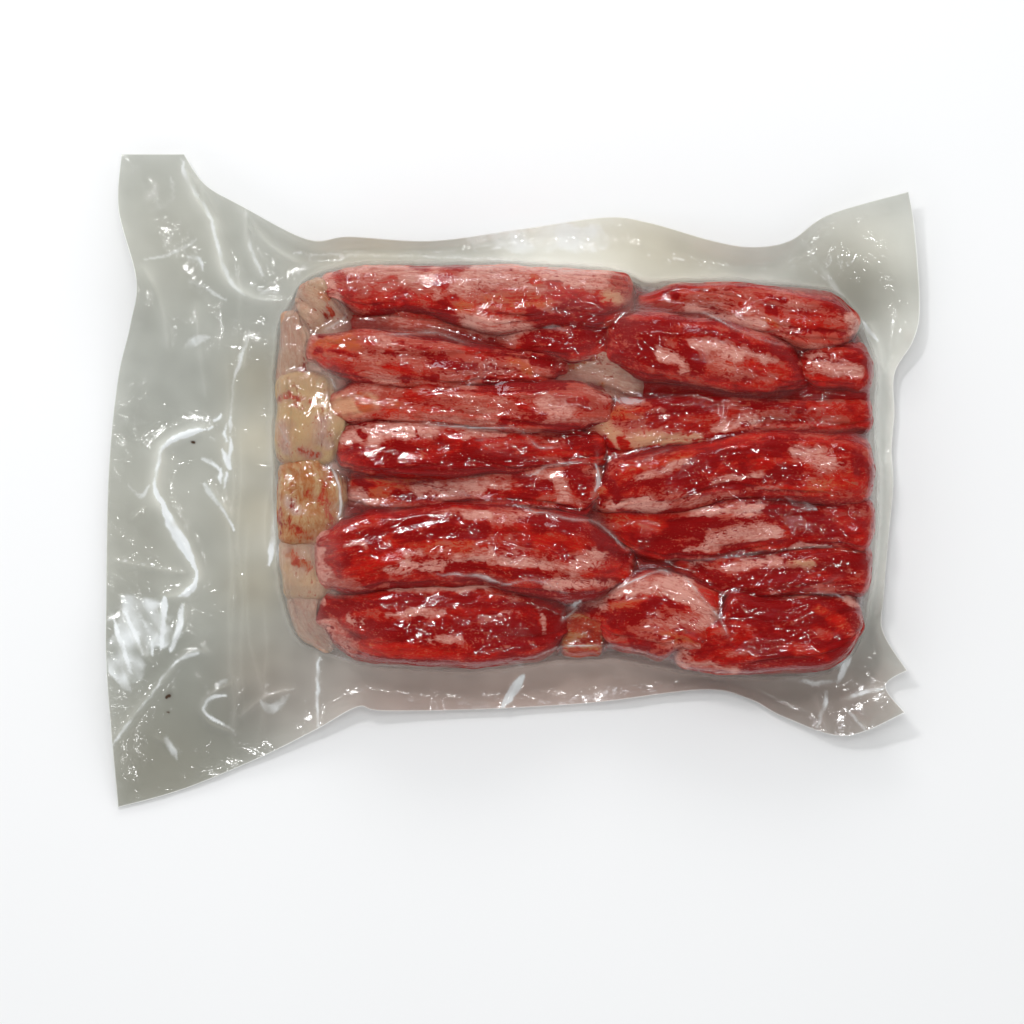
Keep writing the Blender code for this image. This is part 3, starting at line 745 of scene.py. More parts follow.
def meat_material(name, deep_red, bright_red, thin_red, pale_fleck, pink, white, cream, stain, soft):
    """Wet fibrous flesh with torn red skin, from the layers painted on the piece.

    The skin lies where the red layer and the fibres together are high. It is bright to deep red
    with pale flecks. The flesh is pink to white, creamy or stained, as its layers say.
    """
    finish, tree, shader = new_material(name)
    grain = attribute(tree, "grain", "Vector")
    fibres = noise_on(tree, stretched(tree, grain, (0.14, 1.0, 1.0)), 1.3, 4, 0.7, 0.5)
    speckle = noise_on(tree, stretched(tree, grain, (0.6, 1.0, 1.0)), 0.75, 4, 0.72, 0.3)
    clots = noise_on(tree, stretched(tree, grain, (0.45, 1.0, 1.0)), 0.27, 3, 0.6, 0.8)
    grit = noise_on(tree, stretched(tree, grain, (0.7, 1.0, 1.0)), 1.5, 2, 0.6)

    skin = sum_of(tree, attribute(tree, "red"), fibres, 0.34)
    skin = sum_of(tree, skin, speckle, 0.72)
    skin = sum_of(tree, skin, clots, 0.4)
    vein = between(tree, maths(tree, "ABSOLUTE", clots), 0.07, 0.0)
    skin = sum_of(tree, skin, vein, 0.3)
    skin = between(tree, skin, 0.41, 0.68)

    depth = sum_of(tree, attribute(tree, "dark"), clots, 0.55)
    depth = sum_of(tree, depth, speckle, 0.45)
    depth = between(tree, depth, 0.15, 0.95)
    lit = mixed(tree, between(tree, sum_of(tree, fibres, speckle, 1.2), -0.1, 0.8),
                bright_red, thin_red)
    red = mixed(tree, depth, lit, deep_red)
    fleck = between(tree, sum_of(tree, grit, clots, -0.6), 0.22, 0.75)
    red = mixed(tree, maths(tree, "MULTIPLY", fleck, 0.5), red, pale_fleck)

    paleness = sum_of(tree, attribute(tree, "white"), fibres, 0.8)
    paleness = sum_of(tree, paleness, speckle, 1.1)
    paleness = sum_of(tree, paleness, clots, 0.6)
    flesh = mixed(tree, between(tree, paleness, 0.05, 1.35), pink, white)
    flesh = mixed(tree, attribute(tree, "cream"), flesh, cream)
    tinge = sum_of(tree, attribute(tree, "orange"), speckle, 0.7)
    tinge = sum_of(tree, tinge, clots, 0.5)
    flesh = mixed(tree, between(tree, tinge, 0.25, 1.1), flesh, stain)
    colour = mixed(tree, skin, flesh, red)
    tree.links.new(colour, shader.inputs["Base Color"])

    bump = node(tree, "Bump", {
        "Height": sum_of(tree, fibres, speckle, 0.7), "Strength": 0.6, "Distance": 0.0004,
    })
    tree.links.new(bump.outputs["Normal"], shader.inputs["Normal"])
    shader.inputs["Roughness"].default_value = 0.42
    shader.inputs["Specular IOR Level"].default_value = 0.08
    shader.inputs["Subsurface Weight"].default_value = soft
    shader.inputs["Subsurface Radius"].default_value = (1.0, 0.35, 0.25)
    shader.inputs["Subsurface Scale"].default_value = 0.001
    return finish


leg_meat = meat_material(
    "crab_leg_meat",
    deep_red=(0.26, 0.001, 0.001, 1), bright_red=(0.50, 0.007, 0.002, 1),
    thin_red=(0.55, 0.055, 0.020, 1), pale_fleck=(0.62, 0.17, 0.10, 1), pink=(0.43, 0.060, 0.038, 1),
    white=(0.68, 0.32, 0.26, 1), cream=(0.60, 0.30, 0.17, 1), stain=(0.50, 0.10, 0.030, 1),
    soft=0.0,
)

meat_pieces = []
for number, (name, (top, *stations)) in enumerate(LEGS.items()):
    piece, places, up, grain = make_meat(name, number, top, stations, LEG_SIDES, LEG_RINGS)
    layers = painted(
        places, up, grain, PATCHES[name], number + 20, (0.52, 0.45, 0.35, 0.25, 0.0),
        REDDER.get(name, 0.0),
    )
    keep_layers(piece.data, layers, grain)
    piece.data.materials.append(leg_meat)
    bpy.ops.object.shade_smooth()
    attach(piece, "root")
    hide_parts("filled_bag")
    meat_pieces.append((piece, places))

# Scraps. Small bits of meat that filled the bag's mouth side and the middle of the pack: soft
# cream and straw-coloured body meat, nearly without skin, stained orange where skin clings.

SCRAP_SIDES = 52
SCRAP_RINGS = 60
SCRAP_PATCHES = {
    "scrap_2": [
        ("o", -90, 30, -84, 32, 2), ("o", -83, 32, -76, 29, 2.5), ("o", -82, 28, -78, 26, 1.5),
        ("p", -74, 22, -71, 14, 5), ("p", -88, 20, -86, 12, 4), ("s", -80, 12, -74, 10, 2),
    ],
    "scrap_3": [
        ("o", -71, 2, -69, -18, 3), ("o", -77, -5, -73, -8, 2.5), ("o", -85, -18, -78, -20, 2.5),
        ("p", -85, -7, -81, -12, 4),
    ],
    "scrap_4": [
        ("o", -85, -28, -79, -32, 4),
    ],
    "scrap_6": [
        ("o", 19, 42, 31, 48, 3), ("o", 24, 36, 33, 35, 2),
    ],
    "scrap_7": [
        ("o", 20, -58, 33, -56, 11.5), ("r", 21, -53, 29, -55, 3), ("d", 24, -62, 32, -60, 3),
        ("r", 29, -58, 33, -61, 2.5),
    ],
    "scrap_8": [
        ("o", -72, 70, -70, 69, 2), ("r", -71, 65, -70, 64, 2),
    ],
}
# How each scrap looks between its patches: the five layers.
SCRAP_LOOKS = {
    "scrap_1": (0.0, 0.3, 0.55, 0.0, 0.25),
    "scrap_2": (0.0, 0.2, 0.6, 0.15, 0.9),
    "scrap_3": (0.02, 0.2, 0.3, 0.72, 0.95),
    "scrap_4": (-0.05, 0.2, 1.1, 0.1, 0.5),
    "scrap_5": (-0.1, 0.2, 0.8, -0.1, 0.2),
    "scrap_6": (0.15, 0.3, 0.35, 0.1, 0.1),
    "scrap_7": (0.5, 0.1, 0.2, 0.9, 0.1),
    "scrap_8": (0.12, 0.3, 0.7, 0.15, 0.3),
}
pale_meat = meat_material(
    "crab_body_meat",
    deep_red=(0.26, 0.012, 0.006, 1), bright_red=(0.42, 0.04, 0.016, 1),
    thin_red=(0.45, 0.10, 0.05, 1), pale_fleck=(0.50, 0.25, 0.15, 1), pink=(0.42, 0.20, 0.155, 1),
    white=(0.54, 0.37, 0.30, 1),
    cream=(0.52, 0.34, 0.18, 1), stain=(0.42, 0.15, 0.05, 1), soft=0.25,
)
for number, (name, (top, *stations)) in enumerate(SCRAPS.items(), len(LEGS)):
    piece, places, up, grain = make_meat(
        name, number, top, stations, SCRAP_SIDES, SCRAP_RINGS, fullness=4.5, blunt=3.4, tip=0.5,
        strands=3, lump=1.5,
    )
    layers = painted(
        places, up, grain, SCRAP_PATCHES.get(name, ()), number + 20, SCRAP_LOOKS[name]
    )
    keep_layers(piece.data, layers, grain)
    piece.data.materials.append(pale_meat)
    bpy.ops.object.shade_smooth()
    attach(piece, "root")
    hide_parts("filled_bag")
    meat_pieces.append((piece, places))

# All pieces were shaped in mm beside each other. Here each gets its shape, in metres.
for piece, places in meat_pieces:
    piece.data.vertices.foreach_set("co", (places * MM).ravel())
    piece.data.update()

# The bag. Two sheets of clear barrier film sealed together round the rim. The vacuum has drawn
# the upper one down tight over every lump of meat, and pressed the two together outside the
# seam into a stiff, hazy, creased margin that stands a little off the table.

# In mm: the seam over the table, and the least space under the film and between film and meat.
SEAM_HEIGHT = 8.5
TABLE_CLEARANCE = 0.35
FILM_GAP = 0.5
LEAST_FILM_GAP = 0.3
UNDER_GAP = 0.4
# How far the two sheets of the margin are apart, so that neither shows through the other.
SHEETS_APART = 0.24
# The tightest curve that the film takes between two pieces of meat, in mm, and how loosely the
# lower one lies; then how many rounds each takes to settle.
FILM_BEND = 6.0
UNDER_BEND = 60.0
UPPER_ROUNDS = 420
UNDER_ROUNDS = 260
# How far apart the film's points lie, in mm: on its rim, at creases and painted highlights, over
# the meat, in the margin, underneath, and along the pocket's steep side.
RIM_STEP = 1.1
SHARP_STEP = 0.55
FINE_STEP = 1.0
COARSE_STEP = 1.5
UNDER_STEP = 2.6
WALL_STEP = 0.8
# The rings of points that shape that side: how far inside the seam, or outside where below 0.
WALL_RINGS = (-1.7, -1.2, -0.75, -0.35, 0.05, 0.45, 0.9, 1.4, 1.8)
# Two rings close inside the rim keep the cut edge crisp.
EDGE_RINGS = (0.45, 1.1)

# Creases in the film: height, half width, and the points that each runs through, in mm. First
# those over the meat, then those of the margin, and the fine ones along the seal at the mouth.
POCKET_CREASES = [
    (0.8, 1, [(-54.5, 55.5), (-42, 55.5), (-29.5, 56), (-24, 54.5), (-12.5, 50)]),
    (0.8, 1.2, [(-66.5, 73.5), (-63.5, 64.5), (-64, 61.5), (-73, 56)]),
    (0.6, 0.9, [(8.5, 50.5), (16.5, 47.5), (17, 44), (14.5, 41), (11, 41.5)]),
    (0.9, 1, [
        (-40.5, 23), (-27, 21), (-12.5, 20), (0, 20), (5, 17.5), (10.5, 12.5), (20, 13.5),
        (23, 15.5),
    ]),
    (0.9, 1, [(0, 1.5), (8, 2.5), (13, 5.5), (23, 7), (30, 7.5)]),
    (0.9, 1.1, [
        (-11, -7), (3, -9.5), (8.5, -12), (12.5, -12), (21.5, -14.5), (31, -15.5), (38, -21),
        (43.5, -26), (52, -24),
    ]),
    (0.9, 1, [(-26, -36.5), (-12.5, -35.5), (-3, -39), (6.5, -37.5), (16.5, -40.5), (25.5, -46.5)]),
    (0.7, 0.8, [(31, 17), (32, 10), (31.5, 7), (32.5, 2.5), (30.5, -5.5), (31.5, -13)]),
    (1, 1.2, [(-69, 6), (-66, -1.5), (-65, -10.5), (-66.5, -15)]),
    (0.8, 1.1, [(-66.5, 33.5), (-70, 42)]),
    (0.8, 1, [(60.5, 63.5), (72.5, 63.5), (84, 57.5), (95.5, 53), (109, 50)]),
    (0.8, 1, [(47.5, 6), (54, 10), (60, 12)]),
    (0.6, 0.9, [(108, 28.5), (113, 31), (120.5, 31.5)]),
    (0.7, 0.9, [(67.5, -7), (78.5, -4), (84, -7)]),
    (0.8, 1, [(63, -30), (75, -29.5), (88, -28), (98, -25)]),
    (0.7, 1, [(105.5, -42.5), (115, -40), (125, -35.5)]),
    (0.9, 1.2, [(62, -33), (70.5, -42.5), (78.5, -52.5), (82.5, -61)]),
    (0.9, 1.1, [(36.5, -42.5), (47.5, -37), (57, -34), (62, -37)]),
    (0.7, 1.1, [(-36, -3.5), (-41, -7), (-45.5, -12)]),
    (0.7, 1, [(-7.5, 44), (-16, 36)]),
    (0.9, 1.2, [(25.5, -46.5), (22.5, -50), (18.5, -53)]),
    (0.6, 0.8, [(-15.5, 11), (-5, 10.5), (8, 7.5)]),
    (0.7, 1, [(-87.5, 24), (-85.5, 17.5), (-84, 15)]),
    (0.7, 1, [(-69.5, 27), (-69, 19.5), (-71, 13.5)]),
    (0.8, 1.2, [(-74, -67), (-69.5, -66), (-58, -69), (-46, -70), (-27.5, -71)]),
    (0.8, 1.2, [(-5, -71), (4, -68), (18.5, -63), (29.5, -62.5), (41.5, -63), (56, -67), (71, -72)]),
    (0.7, 1, [(37, 38.5), (41, 29), (50, 24)]),
]
MARGIN_CREASES = [
    (0.9, 0.9, [(-84, 86.5), (-76.6, 86.3), (-40, 85.5), (0, 84), (25, 83.3)]),
    (3.2, 4, [
        (-113, 21.5), (-117, 20), (-124, 18), (-133, 13.5), (-135, 5), (-136, -4), (-134, -10.5),
        (-128.5, -17.5),
    ]),
    (2.8, 3.4, [
        (-134, -9), (-128.5, -17.5), (-123.5, -27), (-120, -36), (-122, -40.5), (-126.5, -43.5),
        (-133, -44.5),
    ]),
    (1.6, 2, [(-153.5, -101), (-141.5, -85.5), (-132, -75), (-126.5, -68), (-122, -65), (-115.5, -66)]),
    (1.3, 1.6, [
        (-106.5, -77), (-113.5, -80.5), (-118, -85.5), (-116.5, -91.5), (-111, -94.5), (-105, -96.5),
    ]),
    (1.2, 1, [(-74, -60.5), (-74, -75.5), (-74, -94)]),
    (2.6, 3.4, [
        (-125, 122.5), (-122.5, 113.5), (-120.5, 107.5), (-114, 98), (-112.5, 90), (-109, 77),
        (-98, 69.5), (-86.5, 69),
    ]),
    (1.6, 2.2, [(-103, 107), (-101.5, 99), (-100.5, 89.5), (-95, 76.5)]),
    (1.4, 2, [(-101.5, 103), (-96.5, 94.5), (-90, 88), (-81, 83)]),
    (1, 1.4, [(-100, 55.5), (-101.5, 49), (-102, 43.5)]),
    (1.4, 2.2, [(135.5, 61), (139.5, 51), (141, 41.5)]),
    (1.2, 1.8, [(3, -72.5), (0, -79.5), (-3, -86.5)]),
    (1.1, 1.4, [(115, -79.5), (117, -87), (120, -96)]),
    (1.4, 1.4, [(123.5, -83), (132, -81.5), (141, -78.5)]),
    (1, 1.3, [(129, -88), (133, -91.5), (136.5, -96)]),
    (1.6, 2.4, [(-149, -50), (-144.5, -60.5), (-138, -69)]),
    (1.2, 1.8, [(-134, -45), (-134.5, -56.5), (-138, -64)]),
    (1.2, 1.6, [(-125.5, -43.5), (-125, -53), (-129.5, -61)]),
    (1, 1.6, [(-153.5, -60.5), (-149, -66), (-147, -79.5)]),
    (1.1, 1.8, [(-116.5, 0.5), (-112, -7), (-108, -12)]),
    (0.9, 1.2, [(-138, -96.5), (-131.5, -100.5), (-128, -103)]),
    (0.9, 1.4, [(-146, -15.5), (-138, -9), (-130, -6.5)]),
    (1, 2, [(-153, -30), (-138, -33), (-122.5, -35.5)]),
    (1.5, 2.2, [(-120.5, 122), (-117.5, 107), (-111, 89.5)]),
    (1.2, 1.6, [(-105, -91), (-95, -83), (-84, -79.5)]),
    (1, 1.4, [(-105, -73.5), (-105, -83), (-107.5, -98.5)]),
    (1.1, 2.4, [(-141.5, 83), (-134, 69), (-131, 50)]),
    (0.9, 2, [(-120.5, 69), (-119, 50), (-116.5, 31)]),
]
SEAL_CREASES = [
    (0.7, 0.9, [
        (-106.5, 57.5), (-105.5, 38.5), (-107.5, 19.5), (-106, 0.5), (-107.5, -22.5), (-106.5, -45),
        (-107.5, -68), (-106, -91), (-107, -110),
    ]),
    (0.7, 1.1, [
        (-109, 50), (-108, 31), (-109, 12), (-109.5, -7), (-106.5, -30), (-108, -53), (-106, -79.5),
    ]),
    (0.6, 0.9, [
        (-103.5, 23), (-103, 0.5), (-104.5, -22.5), (-102.5, -45), (-103.5, -68), (-102, -94.5),
    ]),
    (0.6, 1, [(-100.5, -15), (-101.5, -37.5), (-100, -60.5), (-95, -83), (-99, -106)]),
    (0.5, 0.9, [(-95, -45), (-93.5, -60.5), (-94.5, -79.5), (-95, -98.5)]),
    (0.6, 1.2, [(-91, 4), (-93, -7), (-94, -18.5), (-93, -30)]),
    (0.5, 1, [(-104.5, 86), (-103.5, 69), (-105, 53.5)]),
]


def blurred(values, cells):
    """A grid's values, each averaged with those around it."""
    bell = np.exp(-((np.arange(-2 * cells, 2 * cells + 1) / cells) ** 2))
    bell /= bell.sum()
    padded = np.pad(values, 2 * cells, mode="edge")
    rows = sum(w * padded[i : i + values.shape[0]] for i, w in enumerate(bell))
    return sum(w * rows[:, i : i + values.shape[1]] for i, w in enumerate(bell))


# How many cells wide a gap that to_grid fills may be, to each side.
GAP_CELLS = 12


def to_grid(x, y, values):
    """A grid filled from scattered values, its gaps from the cells beside them."""
    row, column = cell_of(x, y)
    spot = row * len(GRID_X) + column
    total = np.bincount(spot, values, grid_x.size).reshape(grid_x.shape)
    count = np.bincount(spot, minlength=grid_x.size).reshape(grid_x.shape).astype(float)
    for _ in range(GAP_CELLS):
        empty = count == 0
        near = np.pad(np.where(empty, 0, total / np.maximum(count, 1)), 1)
        many = np.pad((~empty).astype(float), 1)
        near = near[:-2, 1:-1] + near[2:, 1:-1] + near[1:-1, :-2] + near[1:-1, 2:]
        many = many[:-2, 1:-1] + many[2:, 1:-1] + many[1:-1, :-2] + many[1:-1, 2:]
        fill = empty & (many > 0)
        total[fill], count[fill] = near[fill], many[fill]
    return total / np.maximum(count, 1)


def grid_value(grid, x, y):
    """A grid's values at points between its cells."""
    column = np.clip((x - GRID_X[0]) / CELL, 0, len(GRID_X) - 1.001)
    row = np.clip((y - GRID_Y[0]) / CELL, 0, len(GRID_Y) - 1.001)
    i, j = row.astype(int), column.astype(int)
    v, u = row - i, column - j
    return ((grid[i, j] * (1 - u) + grid[i, j + 1] * u) * (1 - v)
            + (grid[i + 1, j] * (1 - u) + grid[i + 1, j + 1] * u) * v)


def drawn_tight(height, low, high, loose, bend, rounds):
    """Lets a stretched film settle between what it can't pass; bend is its slack curve."""
    sag = CELL**2 / (4 * bend)
    for _ in range(rounds):
        near = (height[:-2, 1:-1] + height[2:, 1:-1] + height[1:-1, :-2] + height[1:-1, 2:]) / 4
        settled = np.clip(near - sag, low[1:-1, 1:-1], high[1:-1, 1:-1])
        height[1:-1, 1:-1] = np.where(loose[1:-1, 1:-1], settled, height[1:-1, 1:-1])
    return height


cells = np.stack((grid_x.ravel(), grid_y.ravel(), np.zeros(grid_x.size)), axis=1)


def grid_lumps(size, seed, stretch=(1, 1, 1)):
    """Smooth random values over the plan of the bag."""
    return lumps(cells * stretch, size, seed).reshape(grid_x.shape)


def crease(lines):
    """Ridges along lines of points, each sharp at its crest and fading out at its ends."""
    total = np.zeros_like(grid_x)
    for height, half_width, points in lines:
        path = curve_through(points, 1.0)
        block = cells_near(*path.T, 3 * half_width + 1)
        x, y = grid_x[block], grid_y[block]
        away, place = np.full(x.shape, np.inf), np.zeros(x.shape)
        for k, (start, end) in enumerate(zip(path, path[1:])):
            near = distance_to_line(x, y, *start, *end)
            place = np.where(near < away, k / len(path), place)
            away = np.minimum(near, away)
        fade = np.clip(np.minimum(place, 1 - place) * 5, 0, 1) ** 0.6
        crest = np.exp(-np.sqrt((away / half_width) ** 2 + 0.02) * 1.5) * 1.24
        total[block] = np.maximum(total[block], height * fade * crest)
    return total


# Painted highlights on the film, white whatever the light, with a painted window reflection among
# the wide ones: how white, then points x, y and half width. The wide ones are crinkled; a
# negative one is a dark speck.
PAINTED_HIGHLIGHTS = [
    (0.95, (-116.9, 19.8, 0.5), (-123.7, 17.9, 1.3), (-132.4, 13.7, 0.7), (-135.1, 6.1, 0.6),
     (-135.9, -3, 0.6), (-133.2, -9.1, 0.9), (-130.5, -15.6, 1.7), (-125.6, -24.3, 1.9),
     (-122.6, -30, 1.0), (-120.3, -35, 0.5), (-121, -38.4, 0.8), (-122.6, -41.4, 1.3),
     (-127.5, -44.1, 0.6)),
    (0.6, (-152.7, -100.9, 0.5), (-138.2, -82, 0.5), (-128.5, -69.4, 0.5), (-119.9, -65.4, 0.9)),
    (0.6, (-106.2, -95, 0.5), (-113, -91.2, 0.5), (-117.8, -87.3, 0.6), (-115, -82.8, 0.6),
     (-109.3, -82, 0.5)),
    (0.7, (-73.9, -66.9, 0.5), (-74.2, -80, 0.5), (-73.9, -94.6, 0.5)),
    (0.85, (4, -74.1, 1.4), (0, -80.5, 1.5), (-3.6, -86.3, 1.0)),
    (0.75, (119.9, -80.2, 0.9), (118.5, -87, 0.9), (116.1, -93.9, 0.6)),
    (0.6, (126.7, -83.2, 0.7), (134, -80.5, 0.9), (141.2, -78.7, 0.6)),
    (0.4, (126.7, -86, 0.5), (131, -91, 0.5), (135.5, -96, 0.5)),
    (0.8, (-89.6, 1.9, 0.5), (-89.8, -6, 0.7), (-90.6, -18, 1.0), (-91.9, -28, 1.1),
     (-92.6, -31.8, 0.5)),
    (0.6, (-100.1, 57.4, 0.6), (-103.6, 46, 0.8), (-105.8, 38.4, 0.5)),
    (0.45, (-106, 38, 0.3), (-106.8, 30, 0.4), (-107.2, 23, 0.4)),
    (0.9, (-107, 24.5, 0.5), (-107.3, 21.5, 0.9), (-107.2, 18.5, 0.4)),
    (0.85, (-109.3, 21, 0.4), (-109.6, 18, 0.7), (-109.2, 15, 0.3)),
    (0.9, (-107.4, 16.5, 0.4), (-107.6, 12, 0.7), (-107.8, 8.5, 0.4)),
    (0.95, (-110.5, 12, 0.5), (-108.8, 8.5, 1.2), (-107.6, 4.5, 0.9)),
    (0.8, (-111, 4.5, 0.4), (-111.4, 1.5, 0.7), (-111, -1.2, 0.4)),
    (0.8, (-109, 3, 0.3), (-109.2, 0, 0.5), (-109.6, -2.5, 0.3)),
    (0.9, (-113.5, 23, 0.4), (-112, 23.5, 0.7), (-110.8, 25, 0.3)),
    (0.8, (-115.8, 19.8, 0.4), (-114.2, 20.6, 0.7)),
    (0.7, (-114.8, 17, 0.4), (-113.3, 16, 0.6)),
    (0.7, (-118.5, 8.5, 0.9), (-114.5, 7, 0.7), (-111, 3, 0.6)),
    (0.8, (-117.5, -1, 0.9), (-114.5, -5.5, 0.9), (-111, -10, 0.6), (-106.2, -18.6, 0.5)),
    (0.45, (-126, 123, 0.6), (-124, 114.4, 0.8), (-116.5, 103.4, 0.6), (-112.7, 90.4, 0.8),
     (-107.7, 76.8, 0.8), (-101.7, 70.3, 0.6)),
    (0.4, (-101.7, 103.4, 0.6), (-100.1, 90.4, 0.6), (-95, 78, 0.5)),
    (0.3, (-130.5, 115.9, 0.7), (-129.4, 108.3, 0.8), (-134.3, 104.5, 0.9), (-136.6, 107.2, 0.6)),
    (0.35, (-140.4, 84.4, 0.5), (-129.4, 86.6, 0.6), (-120.3, 92.3, 0.7)),
    (0.5, (-124.1, 85.5, 0.9), (-119.1, 84.4, 0.8), (-118, 80, 0.5)),
    (0.4, (-122.9, 76.8, 0.5), (-114.2, 71.8, 0.6), (-109.3, 69.2, 0.5)),
    (0.45, (-124.1, 51.7, 2.0), (-119, 54, 1.6), (-115.3, 54.5, 0.7)),
    (0.55, (-147, -50, 4), (-144, -55, 8), (-139, -56, 8), (-135, -58, 4)),
    (0.5, (-152, -60, 3), (-149, -67, 5), (-144, -74, 4)),
    (0.9, (-148, -50, 0.6), (-144, -58, 0.7), (-141, -66, 0.5)),
    (0.7, (-143, -48, 0.5), (-139, -57, 0.6), (-137, -66, 0.5)),
    (0.9, (-151.8, -53.2, 0.6), (-149, -62, 1.0), (-145, -73.7, 0.6)),
    (0.9, (-132.4, -44.5, 1.2), (-133, -54, 1.0), (-133.6, -64.2, 0.6)),
    (0.85, (-125.6, -46.7, 0.7), (-127.5, -56, 1.2), (-130.5, -65, 0.8)),
    (0.7, (-153.5, -66, 2.2), (-150.5, -73, 2.4), (-146.1, -79.4, 1.4)),
    (0.45, (-112, -77.5, 1.2), (-108.5, -76, 0.8)),
    (0.5, (-132.4, -98, 1.4), (-130, -102, 1.2), (-127.5, -106, 0.7)),
    (0.45, (-96, -84, 1.0), (-92, -87, 1.6), (-86, -82, 1.0)),
    (0.4, (-146.5, -2, 0.6), (-141.5, -6, 0.8), (-138, -2, 0.6)),
    (0.4, (-16, 92, 3.5), (8, 94, 6.0), (34, 92, 4.0)),
    (0.75, (129.5, -61, 0.7), (127, -69, 1.3), (124, -77, 0.9)),
    (0.5, (104, -74.5, 0.6), (114, -77, 0.7), (123, -76, 0.6)),
    (0.8, (132.5, 62, 0.7), (136, 56.5, 0.9), (139, 53, 0.5)),
    (0.3, (110, 92, 0.8), (118, 80, 1.2), (126, 70, 0.8)),
    (0.35, (-84, 86.6, 0.4), (-76.6, 86.4, 0.4), (-40, 85.6, 0.4), (0, 84.1, 0.4)),
    (0.8, (38, 31, 0.7), (44, 30.3, 1.2), (50, 30.5, 0.7)),
    (0.5, (-7, 44, 0.7), (-11, 40, 1.2), (-16, 36.5, 0.8)),
    (0.5, (12, 57.5, 0.6), (16, 58, 1.0), (21, 56.5, 0.6)),
    (0.4, (-15, 15.8, 0.6), (0, 15.2, 1.0), (10, 14, 0.5)),
    (0.8, (103, -6.5, 0.6), (109, -9, 1.6), (115, -10.5, 0.7)),
    (0.65, (113, -42.8, 0.5), (120, -42.3, 0.6), (125, -44.5, 0.5)),
    (0.5, (-30, -2.8, 0.6), (-22, -4.5, 1.4), (-15, -5, 0.6)),
    (0.6, (-28, -35.3, 0.4), (-16, -35.5, 0.6), (-5, -38.5, 0.5)),
    (0.85, (26, -45, 0.5), (23, -47, 0.8), (18.5, -50.5, 0.5)),
    (0.8, (31.5, 6, 0.5), (32.5, 0, 0.8), (31.5, -4, 0.5)),
    (0.65, (-69, 6.5, 0.4), (-66, -1, 0.5), (-65, -10, 0.6), (-68, -18, 0.4)),
    (0.6, (-88, 20, 0.5), (-86, 16, 0.7), (-84.5, 13.5, 0.5)),
    (0.45, (47, -37.3, 0.5), (54, -34.5, 0.6), (60, -35.5, 0.5)),
    (0.5, (62.5, 2.2, 0.5), (66, 6, 1.1), (70, 8.5, 0.6)),
    (-0.8, (-131.7, -82.3, 0.5), (-130.2, -81.5, 0.5)),
    (-0.7, (-131.3, -87.8, 0.5), (-130.6, -88, 0.5)),
    (-0.8, (-122.4, 15.1, 0.5), (-121.8, 15, 0.5)),
]


def paint_highlights(lines):
    """How white the painted highlights are over the plan, crisp at their sides and worn at their ends.
    """
    total = np.zeros_like(grid_x)
    slope_x, slope_y = grid_x + 0.45 * grid_y, grid_y - 0.45 * grid_x
    slanting = np.stack((slope_x.ravel(), 0.22 * slope_y.ravel(), 0 * grid_x.ravel()), axis=1)
    streaks = np.abs(lumps(slanting, 3.2, 95)).reshape(grid_x.shape)
    crinkle = np.clip(2.4 * streaks + 0.9 * grid_lumps(3.5, 96, (1, 0.6, 1)), 0.05, 1)
    ragged_x = grid_x + 0.5 * grid_lumps(3.5, 98) + 0.3 * grid_lumps(1.6, 99)
    ragged_y = grid_y + 0.5 * grid_lumps(3.5, 100) + 0.3 * grid_lumps(1.6, 101)
    worn = np.clip(0.75 + 0.6 * grid_lumps(5, 102), 0.25, 1)
    for white, *points in lines:
        path = curve_through(points, 0.6)
        wide = path[:, 2].max()
        block = cells_near(path[:, 0], path[:, 1], 2 * wide)
        near = np.full(grid_x[block].shape, 9.0)
        for k, (x, y, half_width) in enumerate(path):
            tapered = half_width * (0.45 + 0.55 * min(1, k / 6, (len(path) - k) / 6))
            off = np.hypot(ragged_x[block] - x, ragged_y[block] - y) / max(tapered, 0.4)
            near = np.minimum(near, off)
        if wide > 3:
            near += 0.45 * grid_lumps(6, 103)[block] + 0.3 * grid_lumps(2.5, 104)[block]
        soft = 0.2 + 0.35 / max(wide, 0.5)
        value = (1 - eased(near, 1 - soft * 0.5, 1 + soft)) * white
        if white > 0:
            value = value * worn[block]
        if wide > 0.85:
            value = value * (0.65 + 0.35 * crinkle[block])
        bigger = np.abs(value) > np.abs(total[block])
        total[block] = np.where(bigger, value, total[block])
    return total


def inset(outline, away):
    """Points at a distance inside a closed outline that runs anticlockwise; less than 0 outside."""
    ahead = np.roll(outline, -1, axis=0) - np.roll(outline, 1, axis=0)
    ahead /= np.linalg.norm(ahead, axis=1)[:, None]
    moved = outline + away * np.stack((-ahead[:, 1], ahead[:, 0]), axis=1)
    gaps = np.hypot(*(moved[:, None] - outline[None]).transpose(2, 0, 1)).min(axis=1)
    return moved[gaps > 0.85 * abs(away)]


def evenly(outline, step):
    """A closed outline with its points evenly spaced."""
    closed = np.concatenate((outline, outline[:1]))
    run = np.concatenate(([0], np.cumsum(np.hypot(*np.diff(closed, axis=0).T))))
    places = np.linspace(0, run[-1], int(run[-1] / step), endpoint=False)
    return np.stack([np.interp(places, run, column) for column in closed.T], axis=1)


# The meat's upper and lower face under every cell, in mm.
corners, faces = [], []
for piece, places in meat_pieces:
    first = len(corners)
    corners += places.tolist()
    faces += [[first + i for i in face.vertices] for face in piece.data.polygons]
meat_tree = BVHTree.FromPolygons(corners, faces)

meat_top = np.full(grid_x.shape, -1.0)
meat_foot = np.full(grid_x.shape, 99.0)
up, down = Vector((0, 0, 1)), Vector((0, 0, -1))
for i, j in np.argwhere(in_pocket):
    hit = meat_tree.ray_cast(Vector((GRID_X[j], GRID_Y[i], 60)), down)[0]
    if hit:
        meat_top[i, j] = hit.z
        meat_foot[i, j] = meat_tree.ray_cast(Vector((GRID_X[j], GRID_Y[i], -9)), up)[0].z

# The part of the plan that meat fills, with the narrow gaps in it.
filled = ~grown(~grown(meat_top > 0, 9), 9)
filled = blurred(filled.astype(float), 3)

